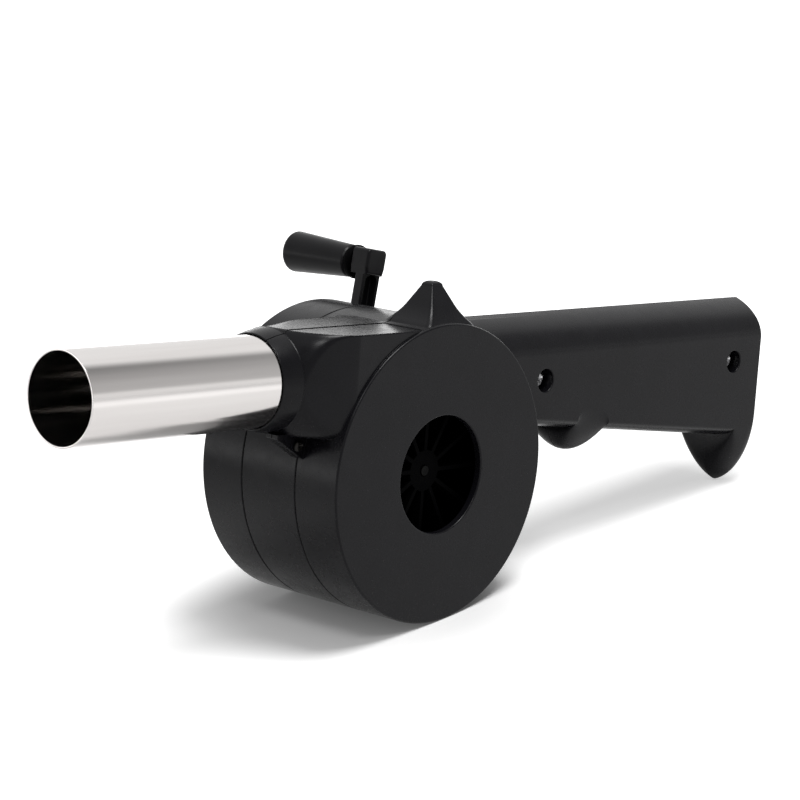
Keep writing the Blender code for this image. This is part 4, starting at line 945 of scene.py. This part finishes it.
def bumped(tree, shader, value, strength, distance, edge=0.0):
    """A fine relief from the value, over edges softened by a small radius."""
    bump = tree.nodes.new("ShaderNodeBump")
    bump.inputs["Strength"].default_value = strength
    bump.inputs["Distance"].default_value = distance
    tree.links.new(value, bump.inputs["Height"])
    if edge > 0.0:
        soft = tree.nodes.new("ShaderNodeBevel")
        soft.samples = 4
        soft.inputs["Radius"].default_value = edge
        tree.links.new(soft.outputs["Normal"], bump.inputs["Normal"])
    tree.links.new(bump.outputs["Normal"], shader.inputs["Normal"])


def plastic(name, dark, light, roughness, grain, specular=0.3, edge=0.00014):
    """Moulded plastic: a fine spark-eroded grain, with a shine that varies a little."""
    material, tree, shader = new_material(name, dark, roughness, 0.0)
    shader.inputs["Specular IOR Level"].default_value = specular
    varied_colour(tree, shader, noise(tree, COLOUR_SCALE, 5.0), dark, light)
    clouds = noise(tree, SHINE_SCALE, 4.0)
    shine = step_between(tree, clouds, *NOISE_SPAN, roughness - 0.04, roughness + 0.05, False)
    tree.links.new(shine, shader.inputs["Roughness"])
    bumped(tree, shader, noise(tree, GRAIN_SCALE, 2.0), grain, GRAIN_HEIGHT, edge)
    return material


def metal(name, dark, light, roughness, streak, stretch=(1.0, 1.0, 1.0), scale=900.0, edge=0.0001):
    """Bare metal with fine drawn or turned lines."""
    material, tree, shader = new_material(name, light, roughness, 1.0)
    varied_colour(tree, shader, noise(tree, scale / 3, 4.0, stretch), dark, light)
    lines = noise(tree, scale, 4.0, stretch)
    shine = step_between(tree, lines, *NOISE_SPAN, roughness - streak, roughness + streak, False)
    tree.links.new(shine, shader.inputs["Roughness"])
    bumped(tree, shader, noise(tree, scale * 4, 3.0, stretch), 0.06, LINE_HEIGHT, edge)
    return material


BLACK = plastic("black_moulded_plastic", (0.0034, 0.0033, 0.0044), (0.0052, 0.0050, 0.0064), roughness=0.26,
                grain=0.018, specular=0.152)
GRIP_BLACK = plastic("black_crank_plastic", (0.0034, 0.0033, 0.0040), (0.0052, 0.0050, 0.0060),
                     roughness=0.32, grain=0.08, specular=0.14)
# Near-black plastic, far darker than the casing, is painted shade: on the fan it stands for the dark inside the
# drum, on the crank's flange for a shaded groove.
SHADE_BLACK = plastic("painted_shade_black_plastic", (0.0004, 0.0004, 0.0005), (0.0009, 0.0009, 0.0011), roughness=0.65,
                    grain=0.10, specular=0.02)
NYLON = plastic("white_gear_nylon", (0.66, 0.65, 0.60), (0.76, 0.75, 0.71), roughness=0.42,
                grain=0.08, specular=0.5, edge=0.00008)
POLISHED = metal("polished_tube_steel", (0.70, 0.67, 0.655), (0.76, 0.735, 0.72), roughness=0.13,
                 streak=0.035, stretch=(0.04, 1.0, 1.0), scale=700.0, edge=0.00005)
ZINC = metal("zinc_plated_steel", (0.50, 0.50, 0.51), (0.64, 0.64, 0.65), roughness=0.30, streak=0.08)
# Near-black steel is painted shade, so the fan shaft's end inside the inlet shows no bright dot.
SHADE_SHAFT_STEEL = metal("painted_shade_shaft_steel", (0.003, 0.003, 0.003), (0.006, 0.006, 0.006), roughness=0.45,
                    streak=0.05)
DARK_SCREW = metal("blackened_steel", (0.020, 0.019, 0.018), (0.035, 0.033, 0.031), roughness=0.38,
                   streak=0.08)
BRASS = metal("turned_brass", (0.62, 0.42, 0.17), (0.74, 0.55, 0.27), roughness=0.30, streak=0.06)


# The pieces

def smooth_shaded(mesh, widest=30.0, level=0.99999):
    """Normals weighted by face area, where level front and back faces stay flat up to their rounds."""
    work = bmesh.new()
    work.from_mesh(mesh)
    bmesh.ops.dissolve_degenerate(work, dist=0.00001, edges=work.edges)
    work.to_mesh(mesh)
    work.free()
    mesh.shade_smooth()
    mesh.set_sharp_from_angle(angle=math.radians(widest))
    limit = math.cos(math.radians(widest))
    faces = [(face.normal.copy(), face.area, tuple(face.vertices)) for face in mesh.polygons]
    around = [[] for _ in mesh.vertices]
    for normal, area, corners in faces:
        for corner in corners:
            around[corner].append((normal, area))
    normals = []
    for normal, _, corners in faces:
        for corner in corners:
            near = [(other, area) for other, area in around[corner] if other.dot(normal) >= limit]
            near = [(other, area) for other, area in near if abs(other.y) > level] or near
            total = sum((other * area for other, area in near), Vector())
            normals.append(total.normalized() if total.length > 0.0 else normal)
    mesh.normals_split_custom_set(normals)


def shown(thing, material, body, slot, *nodes):
    """A finished piece in its place, riding its body and standing for its CAD nodes."""
    thing.data.materials.clear()
    thing.data.materials.append(material)
    smooth_shaded(thing.data)
    thing.data.transform(CASING)
    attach(thing, body)
    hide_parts(*nodes)


form = casing_form()
shown(front_shell(form), BLACK, "casing", "black_plastic", "inlet_shell")
shown(middle_shell(form), BLACK, "casing", "black_plastic", "middle_shell")
shown(back_shell(form), BLACK, "casing", "black_plastic", "gear_cover")
bpy.data.objects.remove(form, do_unlink=True)

shown(nozzle_tube(), POLISHED, "casing", "polished_steel", "outlet_tube")
shown(crank_arm(), GRIP_BLACK, "crank", "black_plastic", "crank_arm")
# The flange gets the painted shade plastic, so it reads as dark as a shaded groove.
shown(washer(), SHADE_BLACK, "crank", "black_plastic", "knob_washer")
shown(grip(), GRIP_BLACK, "grip", "black_plastic", "knob")

head_y = FIRST_SEAM_Y + HANDLE_HALF_THICKNESS - RECESS_DEPTH + SEAM_GAP
for where, x in HANDLE_SCREWS.items():
    handle_screw = screw(f"screw_{where}", SCREW_HEAD, SCREW_SHANK_RADIUS, SCREW_LENGTH, (0, 1, 0),
                         (x, head_y, HANDLE_SCREW_Z))
    shown(handle_screw, ZINC, "casing", "screw_steel", f"handle_screw_{where}")
for number, x, z in cover_screw_places():
    place = (x, BACK_Y + COVER_RECESS_DEPTH - SEAM_GAP, z)
    cover_screw = screw(f"screw_cover_{number}", SCREW_HEAD, SCREW_SHANK_RADIUS, COVER_SCREW_LENGTH,
                        (0, -1, 0), place)
    shown(cover_screw, ZINC, "casing", "screw_steel", f"cover_screw_{number}")
lug_x, lug_z = lug_screw_place()
lug_screw = screw("screw_lug", LUG_SCREW_HEAD, LUG_SCREW_RADIUS, 2 * LUG_HALF_THICKNESS, (0, 1, 0),
                  (lug_x, FIRST_SEAM_Y + LUG_HALF_THICKNESS + SEAM_GAP, lug_z))
shown(lug_screw, DARK_SCREW, "casing", "screw_steel", "lug_screw")

crank_head_y = ARM_INNER_Y - ARM_HUB_DEPTH - SEAM_GAP
crank_screw = screw("screw_crank", CRANK_SCREW_HEAD, CRANK_SCREW_RADIUS, CRANK_SCREW_LENGTH, (0, -1, 0),
                    HUB_PLACE + Vector((0, crank_head_y, 0)))
shown(crank_screw, ZINC, "crank", "screw_steel", "crank_screw")
pin_head_y = KNOB_Y - KNOB_LENGTH + KNOB_PIN_HEAD_HEIGHT
pin_length = ARM_INNER_Y - KNOB_BOSS_DEPTH + KNOB_PIN_SEAT - SEAM_GAP - pin_head_y
pin = screw("grip_pin", (KNOB_PIN_HEAD_RADIUS, KNOB_PIN_HEAD_HEIGHT), KNOB_PIN_RADIUS, pin_length, (0, -1, 0),
            KNOB_PLACE + Vector((0, pin_head_y, 0)), crossed=False)
shown(pin, ZINC, "crank", "screw_steel", "knob_pin")

# The fan and its shaft get painted shade materials, as dark as the inside of the drum.
INNER_MATERIALS = {
    "fan": SHADE_BLACK, "fan_pinion": NYLON, "idler_gear": NYLON, "crank_gear": NYLON, "crank_shaft": ZINC,
    "idler_axle": ZINC, "fan_shaft": SHADE_SHAFT_STEEL, "fan_bush": BRASS,
}
for name, material in INNER_MATERIALS.items():
    for holder in frame["nodes"][name].material_slots:
        holder.material = material


# Floor, room, lamps and camera

def mirror_share(tree):
    """1 for reflected and refracted rays, 0 for others."""
    path = tree.nodes.new("ShaderNodeLightPath")
    return combined(tree, "MAXIMUM", path.outputs["Is Glossy Ray"], path.outputs["Is Transmission Ray"])


def camera_share(tree):
    """1 for rays from the camera, 0 for others."""
    return tree.nodes.new("ShaderNodeLightPath").outputs["Is Camera Ray"]


FLOOR_REACH = 6.0
FLOOR_GREY = 0.82
SHADOW_MIDDLE = (0.03, 0.02)
HANDLE_SHADOW = (-0.10, 0.02)
MIRRORED_MIDDLE = (0.0, 0.12)

floor_mesh = bpy.data.meshes.new("floor")
corners = [(-FLOOR_REACH, -FLOOR_REACH, 0), (FLOOR_REACH, -FLOOR_REACH, 0), (FLOOR_REACH, FLOOR_REACH, 0),
           (-FLOOR_REACH, FLOOR_REACH, 0)]
floor_mesh.from_pydata(corners, [], [(0, 1, 2, 3)])
floor = bpy.data.objects.new("floor", floor_mesh)
scene.collection.objects.link(floor)
pale = bpy.data.materials.new("pale_floor")
pale.use_nodes = True
tree = pale.node_tree
tree.nodes.remove(tree.nodes["Principled BSDF"])
diffuse = tree.nodes.new("ShaderNodeBsdfDiffuse")
diffuse.inputs["Color"].default_value = (FLOOR_GREY, FLOOR_GREY, FLOOR_GREY, 1.0)

# The floor's glow is painted light. Seen from the camera it is weakest round the drum, so the shadow there stays,
# and it washes out the lamp's shadows of the tube and the handle further off, keeping the floor white where the
# lamp is far.
from_drum = distance_from(tree, SHADOW_MIDDLE, 1.0)
from_handle = distance_from(tree, HANDLE_SHADOW, 0.6)
from_front = distance_from(tree, MIRRORED_MIDDLE, 0.4)
painted_floor_light = combined(tree, "ADD", step_between(tree, from_drum, 0.030, 0.070, 0.02, 0.50),
                     step_between(tree, from_handle, 0.06, 0.12, 0.0, 0.24))
painted_floor_light = combined(tree, "ADD", painted_floor_light, step_between(tree, from_drum, 0.14, 0.90, 0.0, 0.40, False))
# Seen in reflections the floor glows less near the object, a painted shade under it that the lobe, tail and tube
# reflect, and more far away.
painted_reflected_floor = combined(tree, "ADD", step_between(tree, from_front, 0.10, 0.17, 0.14, 0.36),
                         step_between(tree, from_front, 0.25, 0.50, 0.0, -0.15, False))
far_glow = step_between(tree, from_front, 0.50, 1.30, 0.0, 0.50, False)
painted_reflected_floor = combined(tree, "ADD", painted_reflected_floor, far_glow)
by_camera = combined(tree, "MULTIPLY", camera_share(tree), painted_floor_light)
by_mirror = combined(tree, "MULTIPLY", mirror_share(tree), painted_reflected_floor)
glow = tree.nodes.new("ShaderNodeEmission")
tree.links.new(combined(tree, "ADD", by_camera, by_mirror), glow.inputs["Strength"])
both = tree.nodes.new("ShaderNodeAddShader")
tree.links.new(diffuse.outputs[0], both.inputs[0])
tree.links.new(glow.outputs[0], both.inputs[1])
tree.links.new(both.outputs[0], tree.nodes["Material Output"].inputs["Surface"])
floor_mesh.materials.append(pale)

# Each pair of the band is a height, as the sine of its elevation, and the room's light there.
ROOM_LIGHT = 0.22
HORIZON_GLOW = 2.0
ROOM_BAND = (
    (0.0, 1.0), (0.06, 0.95), (0.12, 0.60), (0.36, 0.54),
    (0.52, 0.42), (0.62, 0.24), (0.73, 0.24), (0.79, 1.0),
)
world = bpy.data.worlds.new("studio")
scene.world = world
world.use_nodes = True
tree = world.node_tree
background = tree.nodes["Background"]
background.inputs["Color"].default_value = (1.0, 1.0, 1.0, 1.0)
place = tree.nodes.new("ShaderNodeTexCoord")
split = tree.nodes.new("ShaderNodeSeparateXYZ")
tree.links.new(place.outputs["Generated"], split.inputs[0])

# The room is white behind the object and overhead, with a darker band on the side that the camera stands on.
band_node = tree.nodes.new("ShaderNodeValToRGB")
for _ in ROOM_BAND[2:]:
    band_node.color_ramp.elements.new(1.0)
for element, (height, light) in zip(band_node.color_ramp.elements, ROOM_BAND):
    element.position = height
    element.color = (light, light, light, 1.0)
tree.links.new(split.outputs["Z"], band_node.inputs["Fac"])
camera_side = step_between(tree, split.outputs["Y"], -0.05, 0.22, 0.0, 1.0)
darkness = combined(tree, "SUBTRACT", 1.0, band_node.outputs["Color"])
behind = step_between(tree, split.outputs["Y"], -0.45, -0.15, HORIZON_GLOW, 0.0)
horizon = combined(tree, "MULTIPLY", behind, step_between(tree, split.outputs["Z"], 0.07, 0.15, 1.0, 0.0))
room = combined(tree, "SUBTRACT", 1.0, combined(tree, "MULTIPLY", camera_side, darkness))
room = combined(tree, "ADD", room, horizon)
seen = combined(tree, "MAXIMUM", camera_share(tree), mirror_share(tree))
lit = combined(tree, "MULTIPLY", combined(tree, "SUBTRACT", 1.0, seen), ROOM_LIGHT)
strength = combined(tree, "ADD", combined(tree, "MULTIPLY", room, seen), lit)
tree.links.new(strength, background.inputs["Strength"])


def soft_lamp(name, place, size, power):
    """A round soft lamp that points at the drum and isn't seen itself."""
    data = bpy.data.lights.new(name, "AREA")
    data.shape = "DISK"
    data.size = size
    data.energy = power
    lamp = bpy.data.objects.new(name, data)
    lamp.location = place
    lamp.rotation_euler = (Vector(LAMP_AIM) - Vector(place)).to_track_quat("-Z", "Y").to_euler()
    lamp.visible_camera = False
    scene.collection.objects.link(lamp)


LAMP_AIM = (0.0, 0.0, 0.03)
soft_lamp("main_lamp", (-0.10, 0.30, 1.00), size=0.46, power=8.3)
soft_lamp("front_lamp", (0.48, 0.46, 0.84), size=0.24, power=1.8)

# The camera's place is in the casing's frame and in drum radii, solved from the photo's circles and edges.
PHOTO_WIDTH = 800.0
PIXELS_PER_RADIAN = 2850.0
SENSOR_WIDTH = 36.0
CAMERA_PLACE = (13.911, 12.043, 3.412)
AZIMUTH, ELEVATION, ROLL = math.radians(-138.16), math.radians(-9.07), math.radians(4.11)
look = Vector((math.cos(ELEVATION) * math.cos(AZIMUTH), math.cos(ELEVATION) * math.sin(AZIMUTH),
               math.sin(ELEVATION)))
right = look.cross(Vector((0, 0, 1))).normalized()
up = right.cross(look)
right, up = math.cos(ROLL) * right + math.sin(ROLL) * up, math.cos(ROLL) * up - math.sin(ROLL) * right
turn = Matrix((right, up, -look)).transposed().to_4x4()
camera_data = bpy.data.cameras.new("camera")
camera_data.sensor_width = SENSOR_WIDTH
camera_data.lens = PIXELS_PER_RADIAN * SENSOR_WIDTH / PHOTO_WIDTH
camera_data.clip_start = 0.01
camera = bpy.data.objects.new("camera", camera_data)
camera.matrix_world = CASING @ Matrix.Translation(Vector(CAMERA_PLACE) * DRUM_RADIUS) @ turn
scene.collection.objects.link(camera)
scene.camera = camera
scene.view_settings.view_transform = "Standard"
